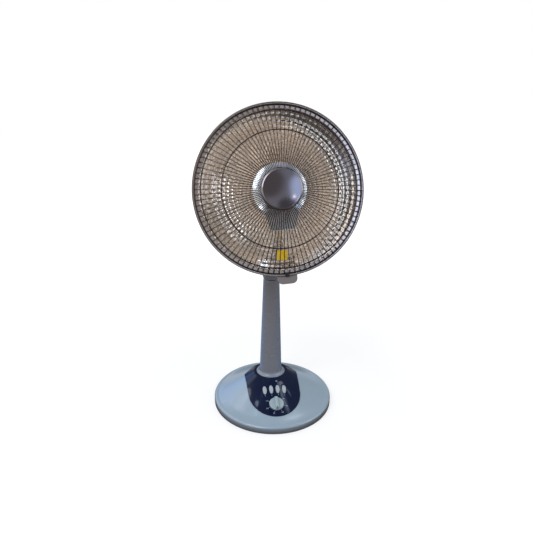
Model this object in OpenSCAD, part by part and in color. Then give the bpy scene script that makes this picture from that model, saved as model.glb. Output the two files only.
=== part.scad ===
// Pedestal parabolic heater: round base with a control deck, tapered column, dish head with a wire guard.
// Millimetres, +Z up, front towards -Y. Origin: centre of the base on the floor.

/* [Base] */
// Diameter of the base
base_d = 350; // [300:5:420]
// Height of the base's rim above the floor
rim_h = 24; // [22:1:32]
// Height of the rubber feet
foot_h = 3; // [2:0.5:5]
// Rounding of the base's upper edge
edge_round = 7; // [4:0.5:9]
// Wall of the base cover
cover_wall = 3; // [2:0.25:4]
// Height of the flat on top of the raised deck
deck_h = 69.5; // [62:0.5:80]
// Radius of the flat on top of the raised deck
deck_top_r = 52; // [48:1:58]
// Distance of the column behind the centre of the base
column_back = 45; // [30:1:60]

/* [Controls] */
// Thickness of the control panel
panel_t = 2.5; // [1.5:0.25:3.5]
// Half width of the panel's round lower end
panel_half_w = 77; // [66:1:84]
// Length of the panel in front of the base's centre
panel_front = 134; // [120:1:140]
// Width of one push button
button_w = 11.4; // [9:0.2:13]
// Length of one push button
button_l = 29; // [22:0.5:32]
// Distance between two buttons
button_pitch = 19.1; // [16:0.1:21]
// Distance of the row of buttons in front of the centre
button_front = 46; // [40:1:52]
// Rise of a button above the panel
button_rise = 3.6; // [2.5:0.1:5]
// Travel of a button
button_travel = 3; // [1:0.25:4]
// Diameter of the timer knob
knob_d = 42; // [34:1:46]
// Height of the timer knob
knob_h = 13; // [10:0.5:16]
// Distance of the timer knob in front of the centre
knob_front = 97; // [92:1:102]

/* [Column] */
// Height of the column's top above the floor
column_top = 379; // [300:1:460]
// Diameter of the column at its foot
column_foot_d = 67; // [60:1:74]
// Diameter of the column at its top
column_top_d = 46.8; // [44:0.5:52]
// Wall of the column shell
column_wall = 3; // [2:0.25:3.5]
// Diameter of the collar at the column's foot
collar_d = 87; // [78:1:94]
// Diameter of the inner steel tube
tube_d = 25; // [20:1:28]
// Diameter of the swivel's pivot
pivot_d = 18; // [14:0.5:19]
// Gap between the column and the neck
neck_gap = 3; // [2:0.25:5]

/* [Neck] */
// Diameter of the swing motor
motor_d = 50; // [42:1:54]
// Distance from the swivel's axis to the motor's shaft
crank_back = 11; // [10:0.5:13]
// Radius of the crank
crank_r = 6.6; // [5.5:0.1:7]
// Height of the tilt hinge above the column's top
hinge_rise = 169; // [150:1:200]
// Diameter of the tilt bolt
tilt_bolt_d = 10; // [8:0.5:12]

/* [Head] */
// Outer diameter of the head
head_d = 428; // [360:2:470]
// Upward tilt of the head at rest, in degrees
head_tilt = 17; // [0:1:25]
// Turn of the dish in its rim, in degrees
dish_turn = 4; // [-8:1:8]
// Width of the flat flange round the reflector
flange_w = 15; // [12:1:22]
// Depth of the reflector
dish_depth = 105; // [85:1:115]
// Height of the guard's dome above its outer ring
guard_rise = 45; // [38:1:55]
// Number of radial wires in the guard
spoke_count = 96; // [48:4:120]
// Diameter of a radial wire
spoke_d = 2; // [1.6:0.1:2.4]
// Diameter of the guard's inner rings
ring_d = 3; // [2.5:0.25:3.5]
// Diameter of the guard's outer ring
outer_ring_d = 4; // [3.5:0.25:5]
// Diameter of the centre cap
cap_d = 104; // [90:1:116]
// Diameter of the round part of the element's shield
shield_d = 134; // [120:1:150]
// Length of the shield below the dish's axis
shield_drop = 102; // [95:1:112]

/* [Hidden] */

$fn = 96;

// Clearances
run_clear = 0.05;      // shaft in its bore
seat_clear = 0.3;      // two pieces that lie side by side
touch = 0.02;          // wires that lie on each other
button_clear = 0.5;    // push button in its window

// Colours
pale_blue = [0.58, 0.65, 0.72];
column_grey = [0.50, 0.53, 0.58];
panel_navy = [0.08, 0.10, 0.18];
key_grey = [0.70, 0.73, 0.75];
steel = [0.62, 0.64, 0.66];
dark_wire = [0.16, 0.14, 0.14];
champagne = [0.77, 0.71, 0.65];
gunmetal = [0.38, 0.40, 0.46];
ceramic_white = [0.88, 0.87, 0.83];
lug_brown = [0.49, 0.46, 0.45];
black = [0.06, 0.06, 0.07];
lead_grey = [0.85, 0.85, 0.83];

// ---------- base ----------

base_r = base_d / 2;
cover_low = 1;         // the cover's wall hides all but this much of the feet
plate_t = 2.5;
weight_r = base_r * 0.66;
weight_t = 7;
floor_z = foot_h + plate_t;
weight_top = floor_z + weight_t;
skirt_r = base_r - 12;
shoulder_r = base_r - 32;
shoulder_h = rim_h + 5.5;
shoulder_back = 6;
deck_back = column_back - 5;
level_t = 0.4;
foot_count = 6;
foot_ring_r = base_r - 22;
foot_d = 22;
screw_ring_r = base_r - 12;
screw_count = 4;
screw_d = 4;
screw_head_d = 8;
screw_head_t = 2;
boss_d = 9;

// Points of an arc round c with radius r, from angle a to angle b
function arc(c, r, a, b, n = 8) =
    [for (i = [0:n]) [c[0] + r * cos(a + (b - a) * i / n), c[1] + r * sin(a + (b - a) * i / n)]];

// The deck is an oblique cone between its shoulder and its top flat.
// deck_z gives its height over a point of the floor.
deck_shift = deck_back - shoulder_back;
deck_shrink = shoulder_r - deck_top_r;
function deck_t(x, y) =
    let (
        a = deck_shift * deck_shift - deck_shrink * deck_shrink,
        b = 2 * ((shoulder_back - y) * deck_shift + shoulder_r * deck_shrink),
        c = (shoulder_back - y) * (shoulder_back - y) + x * x - shoulder_r * shoulder_r
    )
    (-b + sqrt(b * b - 4 * a * c)) / (2 * a);
function deck_z(x, y) = shoulder_h + (deck_h - shoulder_h) * deck_t(x, y);
deck_angle = atan((deck_h - shoulder_h) / (deck_shrink + deck_shift));

// Places children on the panel's face above a point of the floor, square to the deck
module on_deck(x, front) {
    translate([x, -front, deck_z(x, -front) + panel_t])
        rotate([deck_angle, 0, 0])
            children();
}

module deck_level(back, r, z) {
    translate([0, back, z - level_t])
        cylinder(r = r, h = level_t);
}

// The raised deck, its walls moved inwards by inset and the whole moved up by lift
module deck_solid(inset = 0, lift = 0) {
    low = inset > 0 ? cover_wall : 0;
    hull() {
        deck_level(0, skirt_r - inset, rim_h - low + lift);
        deck_level(shoulder_back, shoulder_r - inset, shoulder_h - low + lift);
    }
    hull() {
        deck_level(shoulder_back, shoulder_r - inset, shoulder_h - low + lift);
        deck_level(deck_back, deck_top_r - inset, deck_h - low + lift);
    }
}

module rim_disc(inset = 0) {
    r = base_r - inset;
    top = rim_h - inset;
    bottom_round = 2;
    low = inset > 0 ? cover_low - bottom_round - 1 : cover_low;
    rotate_extrude()
        polygon(concat(
            [[0, low], [r - bottom_round, low], [r, low + bottom_round]],
            arc([r - edge_round, top - edge_round], edge_round, 0, 90),
            [[0, top]]
        ));
}

module screw_bosses(d, low, high) {
    for (i = [0:screw_count - 1])
        rotate([0, 0, 45 + 360 * i / screw_count])
            translate([screw_ring_r, 0, low])
                cylinder(d = d, h = high - low);
}

module oval(grow = 0) {
    polygon([for (a = [0:10:350])
        [(button_w / 2 + grow) * cos(a), (button_l / 2 + grow) * sin(a)]]);
}

function button_x(i) = (i - 1.5) * button_pitch;
window_depth = 12;
shaft_d = 6;
lens_d = 5;
lens_x = button_pitch / 2;
lens_front = 17;

// Windows of the buttons, the knob's shaft and the lamp, through panel and cover
module control_windows(extra = 0) {
    for (i = [0:3])
        on_deck(button_x(i), button_front)
            translate([0, 0, -window_depth])
                linear_extrude(height = 2 * window_depth)
                    oval(button_clear + extra);
    on_deck(0, knob_front)
        translate([0, 0, -window_depth])
            cylinder(d = shaft_d + 2 + 2 * extra, h = 2 * window_depth);
    on_deck(lens_x, lens_front)
        translate([0, 0, -window_depth])
            cylinder(d = lens_d + 2 * run_clear, h = 2 * window_depth);
}

gland_d = 12;
gland_z = floor_z + 8;

module base_cover() {
    color(pale_blue)
    difference() {
        union() {
            difference() {
                union() {
                    rim_disc();
                    deck_solid();
                }
                rim_disc(cover_wall);
                deck_solid(cover_wall);
            }
            screw_bosses(boss_d, floor_z, rim_h - cover_wall + 0.5);
        }
        screw_bosses(screw_d, 0, rim_h - cover_wall - 2);
        translate([0, column_back, rim_h])
            cylinder(d = tube_d + 2, h = deck_h);
        control_windows(0.5);
        translate([0, base_r + 1, gland_z])
            rotate([90, 0, 0])
                cylinder(d = gland_d + 2 * run_clear, h = 20);
    }
}

plunger_d = 8;
plunger_at = [-base_r * 0.56, base_r * 0.5];

module base_plate() {
    color(black)
    difference() {
        translate([0, 0, foot_h])
            cylinder(r = base_r - cover_wall - seat_clear, h = plate_t);
        screw_bosses(screw_d, 0, floor_z + 1);
        translate([plunger_at[0], plunger_at[1], 0])
            cylinder(d = plunger_d + 1, h = floor_z + 1);
    }
}

module base_weight() {
    color(steel)
    difference() {
        translate([0, 0, floor_z])
            cylinder(r = weight_r, h = weight_t);
        translate([0, column_back, floor_z - 1])
            cylinder(d = tube_d + 2 * run_clear, h = weight_t + 2);
        translate([plunger_at[0], plunger_at[1], floor_z - 1])
            cylinder(d = switch_w + 10, h = weight_t + 2);
    }
}

module rubber_feet() {
    color(black)
    for (i = [0:foot_count - 1])
        rotate([0, 0, 360 * i / foot_count])
            translate([foot_ring_r, 0, 0])
                rotate_extrude()
                    polygon([[0, 0], [foot_d / 2 - 1, 0], [foot_d / 2, 1], [foot_d / 2, foot_h], [0, foot_h]]);
}

module base_screws() {
    color(steel)
    for (i = [0:screw_count - 1])
        rotate([0, 0, 45 + 360 * i / screw_count])
            translate([screw_ring_r, 0, foot_h - screw_head_t]) {
                cylinder(d = screw_head_d, h = screw_head_t);
                cylinder(d = screw_d - 2 * run_clear, h = screw_head_t + 13);
            }
}

// ---------- controls ----------

corner_x = panel_half_w - 3;
corner_back = 46;
corner_r = 7;
panel_back = 90;
panel_back_x = 34;
waist_front = 40;

module panel_outline() {
    drop = panel_front - waist_front;
    polygon(concat(
        [for (a = [180:5:360]) [panel_half_w * cos(a), -waist_front + drop * sin(a)]],
        arc([corner_x, corner_back], corner_r, 0, 45, 4),
        arc([panel_back_x, panel_back - corner_r], corner_r, 45, 90, 3),
        arc([-panel_back_x, panel_back - corner_r], corner_r, 90, 135, 3),
        arc([-corner_x, corner_back], corner_r, 135, 180, 4)
    ));
}

module control_panel() {
    color(panel_navy)
    difference() {
        intersection() {
            linear_extrude(height = deck_h + 2 * panel_t)
                panel_outline();
            deck_solid(0, panel_t);
        }
        deck_solid();
        control_windows();
        translate([0, column_back, deck_h - 1])
            cylinder(d = collar_d + 2 * seat_clear, h = 4 * panel_t);
        translate([0, 0, -1])
            rim_disc();
    }
}

module indicator_lens() {
    color([0.75, 0.30, 0.20])
    on_deck(lens_x, lens_front) {
        translate([0, 0, -7])
            cylinder(d = lens_d, h = 7);
        intersection() {
            cylinder(d = lens_d, h = 2);
            translate([0, 0, 1.2 - lens_d])
                sphere(r = lens_d);
        }
    }
}

key_depth = 7;
stem_w = 6;
stem_l = 8;
stem_end = 22;
block_top = 12;
block_h = 17;
block_l = 34;

module button(i) {
    crown_r = 50;
    color(key_grey)
    on_deck(button_x(i), button_front) {
        intersection() {
            translate([0, 0, -key_depth])
                linear_extrude(height = key_depth + button_rise)
                    oval();
            translate([0, 0, button_rise - crown_r])
                sphere(r = crown_r);
        }
        translate([-stem_w / 2, -stem_l / 2, -stem_end])
            cube([stem_w, stem_l, stem_end - key_depth + 0.5]);
    }
}

module switch_block() {
    w = 4 * button_pitch + 8;
    color(black)
    difference() {
        on_deck(0, button_front)
            translate([-w / 2, -block_l / 2, -block_top - block_h])
                cube([w, block_l, block_h]);
        for (i = [0:3])
            on_deck(button_x(i), button_front)
                translate([-stem_w / 2 - 0.5, -stem_l / 2 - 0.5, -stem_end - button_travel - 1.5])
                    cube([stem_w + 1, stem_l + 1, stem_end]);
    }
}

timer_d = 44;
timer_top = 9;
timer_h = 16;
shaft_low = 19;
shaft_high = 9;
knob_lift = 1;
knob_disc_h = 6;
grip_w = 9;

module timer_body() {
    color(ceramic_white)
    on_deck(0, knob_front)
        difference() {
            translate([0, 0, -timer_top - timer_h])
                cylinder(d = timer_d, h = timer_h);
            translate([0, 0, -shaft_low - 1])
                cylinder(d = shaft_d + 2 * run_clear, h = shaft_low);
        }
}

module timer_shaft() {
    color(steel)
    on_deck(0, knob_front)
        translate([0, 0, -shaft_low])
            cylinder(d = shaft_d, h = shaft_low + shaft_high);
}

module timer_knob() {
    r = knob_d / 2;
    color(key_grey)
    on_deck(0, knob_front)
        translate([0, 0, knob_lift])
            difference() {
                union() {
                    rotate_extrude()
                        polygon(concat(
                            [[0, 0], [r, 0]],
                            arc([r - 2, knob_disc_h - 2], 2, 0, 90, 4),
                            [[0, knob_disc_h]]
                        ));
                    intersection() {
                        translate([-grip_w / 2, -r, 1])
                            cube([grip_w, knob_d, knob_h - 1]);
                        rotate_extrude()
                            polygon(concat(
                                [[0, 0], [r - 0.5, 0], [r - 1.5, knob_h - 3]],
                                arc([r - 4, knob_h - 2.5], 2.5, 0, 90, 4),
                                [[0, knob_h]]
                            ));
                    }
                }
                translate([0, 0, -1])
                    cylinder(d = shaft_d + 2 * run_clear, h = shaft_high - knob_lift + 1 + touch);
                translate([-1, -r - 1, knob_disc_h - 1.5])
                    cube([2, 8, knob_h]);
            }
}

// ---------- inside the base ----------

switch_w = 24;
switch_d = 16;
switch_h = 13;
plunger_travel = 4;

module tipover_switch() {
    color(black)
    translate([plunger_at[0], plunger_at[1], floor_z])
        difference() {
            translate([-switch_w / 2, -switch_d / 2, 0])
                cube([switch_w, switch_d, switch_h]);
            translate([0, 0, -1])
                cylinder(d = plunger_d + 2 * run_clear, h = switch_h - 2);
        }
}

module tipover_plunger() {
    color(key_grey)
    translate([plunger_at[0], plunger_at[1], 0.1])
        rotate_extrude()
            polygon([[0, 0], [plunger_d / 2 - 1, 0], [plunger_d / 2, 1],
                [plunger_d / 2, floor_z + switch_h - 5], [0, floor_z + switch_h - 5]]);
}

terminal_at = column_back + 58;
terminal_deep = 16;

module terminal_block() {
    w = 36;
    h = 14;
    ways = 3;
    color(ceramic_white)
    translate([-w / 2, terminal_at - terminal_deep / 2, weight_top])
        difference() {
            cube([w, terminal_deep, h]);
            for (i = [0:ways - 1])
                translate([w * (i + 0.5) / ways, terminal_deep / 2, h - 4])
                    cylinder(d = 5, h = 5);
        }
}

module cord_gland() {
    flange = 3;
    bore = 8;
    face = base_r - cover_wall;
    color(black)
    translate([0, 0, gland_z])
        rotate([-90, 0, 0])
            difference() {
                union() {
                    translate([0, 0, face - 12])
                        cylinder(d = gland_d, h = 12 + cover_wall - 0.5);
                    translate([0, 0, face - 12 - flange])
                        cylinder(d = gland_d + 2, h = flange);
                }
                translate([0, 0, face - 30])
                    cylinder(d = bore, h = 60);
            }
}

lead_d = 7;
lead_bend = 12;
lead_low = weight_top + 7;
lead_high = column_top - 40;

// Inner lead: from the terminals, through a bend, up the steel tube
module supply_lead() {
    run = terminal_at - terminal_deep / 2 - column_back - lead_bend;
    color(lead_grey)
    at_column() {
        translate([0, 0, lead_low + lead_bend])
            cylinder(d = lead_d, h = lead_high - lead_low - lead_bend, $fn = 24);
        translate([0, lead_bend, lead_low + lead_bend])
            rotate([90, 0, 90])
                rotate([0, 0, 180])
                    rotate_extrude(angle = 90)
                        translate([lead_bend, 0])
                            circle(d = lead_d, $fn = 24);
        translate([0, lead_bend, lead_low])
            rotate([-90, 0, 0])
                cylinder(d = lead_d, h = run - seat_clear, $fn = 24);
    }
}

// ---------- column ----------

module at_column() {
    translate([0, column_back, 0])
        children();
}

function column_r(z) =
    (column_foot_d + (column_top_d - column_foot_d) * (z - deck_h) / (column_top - deck_h)) / 2;

collar_rise = 14;
collar_edge = 1.2;
collar_lip = 0.6;
collar_steps = 8;

// Trumpet-shaped foot of the column: flat at its edge, upright at its lip
module column_collar() {
    r = collar_d / 2;
    in_low = column_r(deck_h) + seat_clear / 2;
    in_high = column_r(deck_h + collar_rise) + seat_clear / 2;
    flare_w = r - in_high - collar_lip;
    flare_h = collar_rise - collar_edge;
    color(column_grey)
    at_column()
        rotate_extrude()
            polygon(concat(
                [[in_low, deck_h], [r, deck_h]],
                [for (i = [0:collar_steps])
                    let (a = 90 * i / collar_steps)
                    [r - flare_w * sin(a), deck_h + collar_edge + flare_h * (1 - cos(a))]],
                [[in_high, deck_h + collar_rise]]
            ));
}

module column() {
    lip = 2;
    r = column_r(column_top);
    color(column_grey)
    at_column()
        rotate_extrude()
            polygon(concat(
                [[column_r(deck_h) - column_wall, deck_h], [column_r(deck_h), deck_h]],
                arc([r - lip, column_top - lip], lip, 0, 90, 4),
                [[r - column_wall, column_top]]
            ));
}

tube_low = floor_z;
tube_high = column_top - 16;
tube_wall = 1.5;

module column_tube() {
    color(steel)
    at_column()
        difference() {
            translate([0, 0, tube_low])
                cylinder(d = tube_d, h = tube_high - tube_low);
            translate([0, 0, tube_low - 1])
                cylinder(d = tube_d - 2 * tube_wall, h = tube_high);
            translate([-lead_d / 2 - 1, 0, weight_top + 1])
                cube([lead_d + 2, tube_d, lead_bend + lead_d + 10]);
        }
}

module tube_nut() {
    across = 42;
    h = 6;
    color(steel)
    at_column()
        translate([0, 0, deck_h - cover_wall - h - 0.2])
            difference() {
                cylinder(d = across, h = h, $fn = 6);
                translate([0, 0, -1])
                    cylinder(d = tube_d + 2 * run_clear, h = h + 2);
            }
}

plug_low = column_top - 34;
pivot_top = column_top + 13.5;

module column_head() {
    plug_r = column_r(column_top) - column_wall - seat_clear;
    color(black)
    at_column()
        difference() {
            union() {
                translate([0, 0, plug_low])
                    cylinder(r = plug_r, h = column_top - plug_low);
                translate([0, 0, column_top])
                    cylinder(d = pivot_d, h = pivot_top - column_top);
            }
            translate([0, 0, plug_low - 1])
                cylinder(d = tube_d + 2 * run_clear, h = tube_high - plug_low + 1 + touch);
            yoke_screw_places()
                translate([0, 0, -yoke_screw_l - 1])
                    cylinder(d = yoke_screw_d, h = yoke_screw_l + 2);
        }
}

pin_d = 4;
slot_clear = 0.5;
slot_end = crank_back + crank_r + pin_d / 2 + slot_clear;
yoke_t = 4;
yoke_back = 3;
yoke_r = slot_end + 3 - yoke_back;
yoke_screw_d = 3;
yoke_screw_x = 6;
yoke_screw_l = 8;

module yoke_screw_places() {
    for (s = [-1, 1])
        translate([s * yoke_screw_x, 0, pivot_top])
            children();
}

module swing_yoke() {
    slot_w = pin_d + 2 * slot_clear;
    color(steel)
    at_column()
        difference() {
            translate([0, yoke_back, pivot_top])
                cylinder(r = yoke_r, h = yoke_t);
            translate([-slot_w / 2, 0, pivot_top - 1])
                cube([slot_w, slot_end - slot_w / 2, yoke_t + 2]);
            translate([0, slot_end - slot_w / 2, pivot_top - 1])
                cylinder(d = slot_w, h = yoke_t + 2);
            yoke_screw_places()
                translate([0, 0, -1])
                    cylinder(d = yoke_screw_d + 2 * run_clear, h = yoke_t + 2);
        }
}

module yoke_screws() {
    color(steel)
    at_column()
        yoke_screw_places() {
            translate([0, 0, -yoke_screw_l])
                cylinder(d = yoke_screw_d - 2 * touch, h = yoke_screw_l + yoke_t);
            translate([0, 0, yoke_t])
                cylinder(d = 5, h = 1.5);
        }
}

module swivel_washer() {
    color(ceramic_white)
    at_column()
        translate([0, 0, column_top])
            difference() {
                cylinder(r = column_r(column_top) - 4, h = neck_gap - seat_clear);
                translate([0, 0, -1])
                    cylinder(d = pivot_d + 0.4, h = neck_gap + 1);
            }
}

// ---------- neck ----------

neck_low = column_top + neck_gap;
cup_wall = 2.5;
cup_r = motor_d / 2 + 7;
cup_back = crank_back - 3;
cup_wide = column_top + 29;
cup_top = column_top + 49;
cup_floor = 4;
ledge_top = column_top + 27;
ledge_t = 3;
crank_axis = [0, column_back + crank_back];
motor_h = 18;
motor_screw_x = motor_d / 2 - 4;
hinge_z = column_top + hinge_rise;
barrel_r = 13;
barrel_w = 26;
stalk_d = 32;

module cup_shape(inset = 0) {
    low = inset > 0 ? cup_floor : 0;
    over = inset > 0 ? 1 : 0;
    hull() {
        translate([0, column_back, neck_low + low])
            cylinder(r = column_r(column_top) - inset, h = level_t);
        translate([0, column_back + cup_back, cup_wide])
            cylinder(r = cup_r - inset, h = cup_top - cup_wide + over);
    }
}

module neck_cup() {
    color(column_grey)
    difference() {
        union() {
            difference() {
                cup_shape();
                cup_shape(cup_wall);
            }
            at_column()
                translate([0, 0, neck_low + 1])
                    cylinder(d = pivot_d + 10, h = pivot_top - seat_clear - neck_low - 1);
            intersection() {
                cup_shape(cup_wall - 1);
                translate([0, column_back, ledge_top - ledge_t])
                    cylinder(r = 2 * cup_r, h = ledge_t);
            }
        }
        at_column()
            translate([0, 0, column_top])
                cylinder(d = pivot_d + 2 * run_clear, h = pivot_top);
        translate([crank_axis[0], crank_axis[1], pivot_top - seat_clear])
            cylinder(r = motor_screw_x - 4, h = cup_top);
        motor_screw_places(-10)
            cylinder(d = 3 + 2 * run_clear, h = 12);
    }
}

module motor_screw_places(down) {
    for (s = [-1, 1])
        translate([s * motor_screw_x, crank_axis[1], ledge_top + down])
            children();
}

module swing_motor() {
    color(steel)
    difference() {
        translate([crank_axis[0], crank_axis[1], ledge_top])
            rotate_extrude()
                polygon(concat(
                    [[0, 0], [motor_d / 2, 0]],
                    arc([motor_d / 2 - 2, motor_h - 2], 2, 0, 90, 4),
                    [[0, motor_h]]
                ));
        translate([crank_axis[0], crank_axis[1], ledge_top - 1])
            cylinder(d = motor_shaft_d + 2 * run_clear, h = 9);
        motor_screw_places(-1)
            cylinder(d = 3 + 2 * touch, h = 7);
    }
}

module motor_screws() {
    color(steel)
    motor_screw_places(-ledge_t - 1.8) {
        cylinder(d = 5.5, h = 1.8);
        cylinder(d = 3, h = ledge_t + 1.8 + 5);
    }
}

motor_shaft_d = 7;
hub_r = crank_r + pin_d / 2 + 1;
hub_low = pivot_top + yoke_t + 2.5;
hub_t = 3.5;

module swing_crank() {
    color(steel)
    translate([crank_axis[0], crank_axis[1], 0]) {
        difference() {
            translate([0, 0, hub_low])
                cylinder(r = hub_r, h = hub_t);
            translate([0, 0, hub_low - 1])
                cylinder(d = motor_shaft_d + 2 * touch, h = hub_t + 2);
        }
        translate([0, crank_r, pivot_top + 0.5])
            cylinder(d = pin_d, h = hub_low - pivot_top - 0.5);
    }
}

module motor_shaft() {
    color(steel)
    translate([crank_axis[0], crank_axis[1], hub_low])
        cylinder(d = motor_shaft_d, h = ledge_top + 7 - hub_low);
}

// One level of the stalk between the neck's cup and the tilt hinge
module stalk_level(z, w, d) {
    translate([-w / 2, column_back - d / 2, z])
        cube([w, d, level_t]);
}

module neck_cover() {
    shoulder_z = hinge_z - 46;
    color(column_grey)
    difference() {
        union() {
            hull() {
                translate([0, column_back + cup_back, cup_top])
                    cylinder(r = cup_r, h = 6);
                stalk_level(shoulder_z, barrel_w, stalk_d);
            }
            hull() {
                stalk_level(shoulder_z, barrel_w, stalk_d);
                translate([-barrel_w / 2, column_back, hinge_z])
                    rotate([0, 90, 0])
                        cylinder(r = barrel_r, h = barrel_w);
            }
        }
        hull() {
            translate([0, column_back + cup_back, cup_top - 1])
                cylinder(r = cup_r - cup_wall, h = 6);
            stalk_level(shoulder_z - 8, barrel_w - 6, stalk_d - 6);
        }
        translate([-barrel_w, column_back, hinge_z])
            rotate([0, 90, 0])
                cylinder(d = tilt_bolt_d + 2 * run_clear, h = 2 * barrel_w);
    }
}

// ---------- head ----------

head_r = head_d / 2;
head_y = -90;
head_z = column_top + 291.5;
dish_r = head_r - flange_w;

// Head frame: origin at the centre of the rim, z forward out of the dish, y up in the dish's plane
module at_head() {
    translate([0, head_y, head_z])
        rotate([90 - head_tilt, 0, 0])
            children();
}

// The dish and what is fixed to it are turned a little in the rim
module at_dish() {
    at_head()
        rotate([0, 0, dish_turn])
            children();
}

// The tilt hinge in the head frame
hinge_dy = column_back - head_y;
hinge_dz = hinge_z - head_z;
hinge_y = hinge_dy * sin(head_tilt) + hinge_dz * cos(head_tilt);
hinge_back = hinge_dy * cos(head_tilt) - hinge_dz * sin(head_tilt);

sheet_t = 0.8;
post_d = 12;
band_t = 1.4;
flange_r = head_r - band_t - seat_clear;

function dish_h(r) = -dish_depth * (1 - r * r / (dish_r * dish_r));

// Reflector: a paraboloid in fine concentric steps, with a flat flange
module reflector() {
    steps = 40;
    bead = 0.35;
    hole = post_d / 2 + 0.5;
    function at(i) = hole + (dish_r - hole) * i / steps;
    function lift(i) = (i > 3 && i < steps - 1) ? bead * (i % 2) : 0;
    color(champagne)
    at_dish()
        rotate_extrude()
            polygon(concat(
                [for (i = [0:steps]) [at(i), dish_h(at(i)) - sheet_t + lift(i)]],
                [[flange_r, -sheet_t], [flange_r, 0]],
                [for (i = [steps:-1:0]) [at(i), dish_h(at(i)) + lift(i)]]
            ));
}

shell_t = 2;
shell_gap = 8;
shell_edge_r = head_r - 5;
shell_edge_h = -4;

function shell_h(r) =
    shell_edge_h - (dish_depth + shell_gap + shell_edge_h) * (1 - r * r / (shell_edge_r * shell_edge_r));

// Shell behind the dish, with the rim on which the reflector's flange rests
module rear_shell() {
    steps = 14;
    hole = 22;
    function at(i) = hole + (shell_edge_r - hole) * i / steps;
    color([0.85, 0.80, 0.72])
    at_head()
        rotate_extrude()
            polygon(concat(
                [for (i = [0:steps]) [at(i), shell_h(at(i)) - shell_t]],
                [[flange_r, shell_edge_h - shell_t], [flange_r, -sheet_t], [shell_edge_r, -sheet_t]],
                [for (i = [steps:-1:0]) [at(i), shell_h(at(i))]]
            ));
}

band_back = -13;
band_front = 4;
lip_r = head_r - 6;

module rim_band() {
    color([0.30, 0.29, 0.31])
    at_head()
        rotate_extrude()
            polygon([
                [head_r - band_t, band_back + band_t],
                [lip_r, band_back + band_t],
                [lip_r, band_back],
                [head_r - 1, band_back],
                [head_r, band_back + 1],
                [head_r, band_front - 1],
                [head_r - 0.7, band_front],
                [head_r - band_t, band_front]
            ]);
}

// ---------- wire guard ----------

outer_ring_r = head_r - 5;
ring_radii = [head_r - 20, head_r - 70];
hub_ring_r = 46;
spoke_in = 42;
guard_angle = 2 * atan(guard_rise / outer_ring_r);
guard_ball = outer_ring_r / sin(guard_angle);
outer_wire_h = touch + outer_ring_d / 2
    + (outer_ring_d / 2 + spoke_d / 2 + touch) * cos(guard_angle);
guard_centre = outer_wire_h - guard_ball * cos(guard_angle);

// Height of a radial wire's centre line at radius r: a great arc of the guard's ball
function wire_h(r) = guard_centre + sqrt(guard_ball * guard_ball - r * r);

// A ring that lies under the radial wires at radius r
module guard_ring(r, d) {
    a = asin(r / guard_ball);
    reach = guard_ball - spoke_d / 2 - d / 2 - touch;
    translate([0, 0, guard_centre + reach * cos(a)])
        rotate_extrude()
            translate([reach * sin(a), 0])
                circle(d = d, $fn = 24);
}

module grille_rings() {
    color(dark_wire)
    at_dish() {
        guard_ring(outer_ring_r, outer_ring_d);
        for (r = ring_radii)
            guard_ring(r, ring_d);
    }
}

module grille_spokes() {
    a_in = asin(spoke_in / guard_ball);
    color(dark_wire)
    at_dish()
        for (i = [0:spoke_count - 1])
            rotate([0, 0, 360 * (i + 0.5) / spoke_count])
                translate([0, 0, guard_centre])
                    rotate([90, 0, 0])
                        rotate([0, 0, 90 - guard_angle])
                            rotate_extrude(angle = guard_angle - a_in)
                                translate([guard_ball, 0])
                                    circle(d = spoke_d, $fn = 16);
}

hub_disc_t = 1.5;
cap_rise = 10;
cap_wall = 1.5;
cap_screw_d = 4;

// Points of the guard's ball moved inwards by inset, from the axis to radius r
function ball_points(r, inset, n = 6) =
    [for (i = [0:n]) let (a = asin(r / guard_ball) * i / n)
        [(guard_ball - inset) * sin(a), guard_centre + (guard_ball - inset) * cos(a)]];
function reversed(list) = [for (i = [len(list) - 1:-1:0]) list[i]];

module grille_hub() {
    inset = spoke_d / 2 + touch;
    color(dark_wire)
    at_dish()
        difference() {
            rotate_extrude()
                polygon(concat(ball_points(hub_ring_r, inset + hub_disc_t), reversed(ball_points(hub_ring_r, inset))));
            translate([0, 0, guard_centre + guard_ball - 10])
                cylinder(d = cap_screw_d + 2 * run_clear, h = 20);
        }
}

cap_low = wire_h(cap_d / 2 - cap_wall) + spoke_d / 2 + touch;
cap_high = cap_low + cap_rise;

module centre_cap() {
    r = cap_d / 2;
    crown = (r * r + (cap_rise - 3) * (cap_rise - 3)) / (2 * (cap_rise - 3));
    crown_angle = asin((r - 1) / crown);
    post_low = guard_centre + guard_ball - spoke_d / 2 - touch;
    function dome(inset, n) =
        [for (i = [0:n]) let (a = crown_angle * i / n)
            [(crown - inset) * sin(a), cap_high - crown + (crown - inset) * cos(a)]];
    color(gunmetal)
    at_dish()
        difference() {
            union() {
                rotate_extrude()
                    polygon(concat(
                        dome(0, 12),
                        [[r, cap_high - crown + crown * cos(crown_angle) - 0.8],
                         [r, cap_low], [r - cap_wall, cap_low]],
                        reversed(dome(cap_wall, 12))
                    ));
                translate([0, 0, post_low])
                    cylinder(d = 12, h = cap_high - cap_wall / 2 - post_low);
            }
            translate([0, 0, post_low - 1])
                cylinder(d = cap_screw_d + 2 * run_clear, h = 8);
        }
}

module cap_screw() {
    hub_back = guard_centre + guard_ball - spoke_d / 2 - hub_disc_t - 3 * touch;
    color(steel)
    at_dish()
        translate([0, 0, hub_back - 2.4]) {
            cylinder(d = 8, h = 2.4);
            cylinder(d = cap_screw_d, h = 2.4 + hub_disc_t + 6);
        }
}

// ---------- heating element ----------

shield_face = 20;
shield_t = 1;
shield_rim = 9;
shield_low_w = 58;
shield_neck = 39.7;
element_r = 48;
element_tube_d = 11;
element_h = -6;
leg_x = 14;
leg_bend = 12;
leg_end = 84;
cap_l = 14;
holder_t = 1.5;

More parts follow.
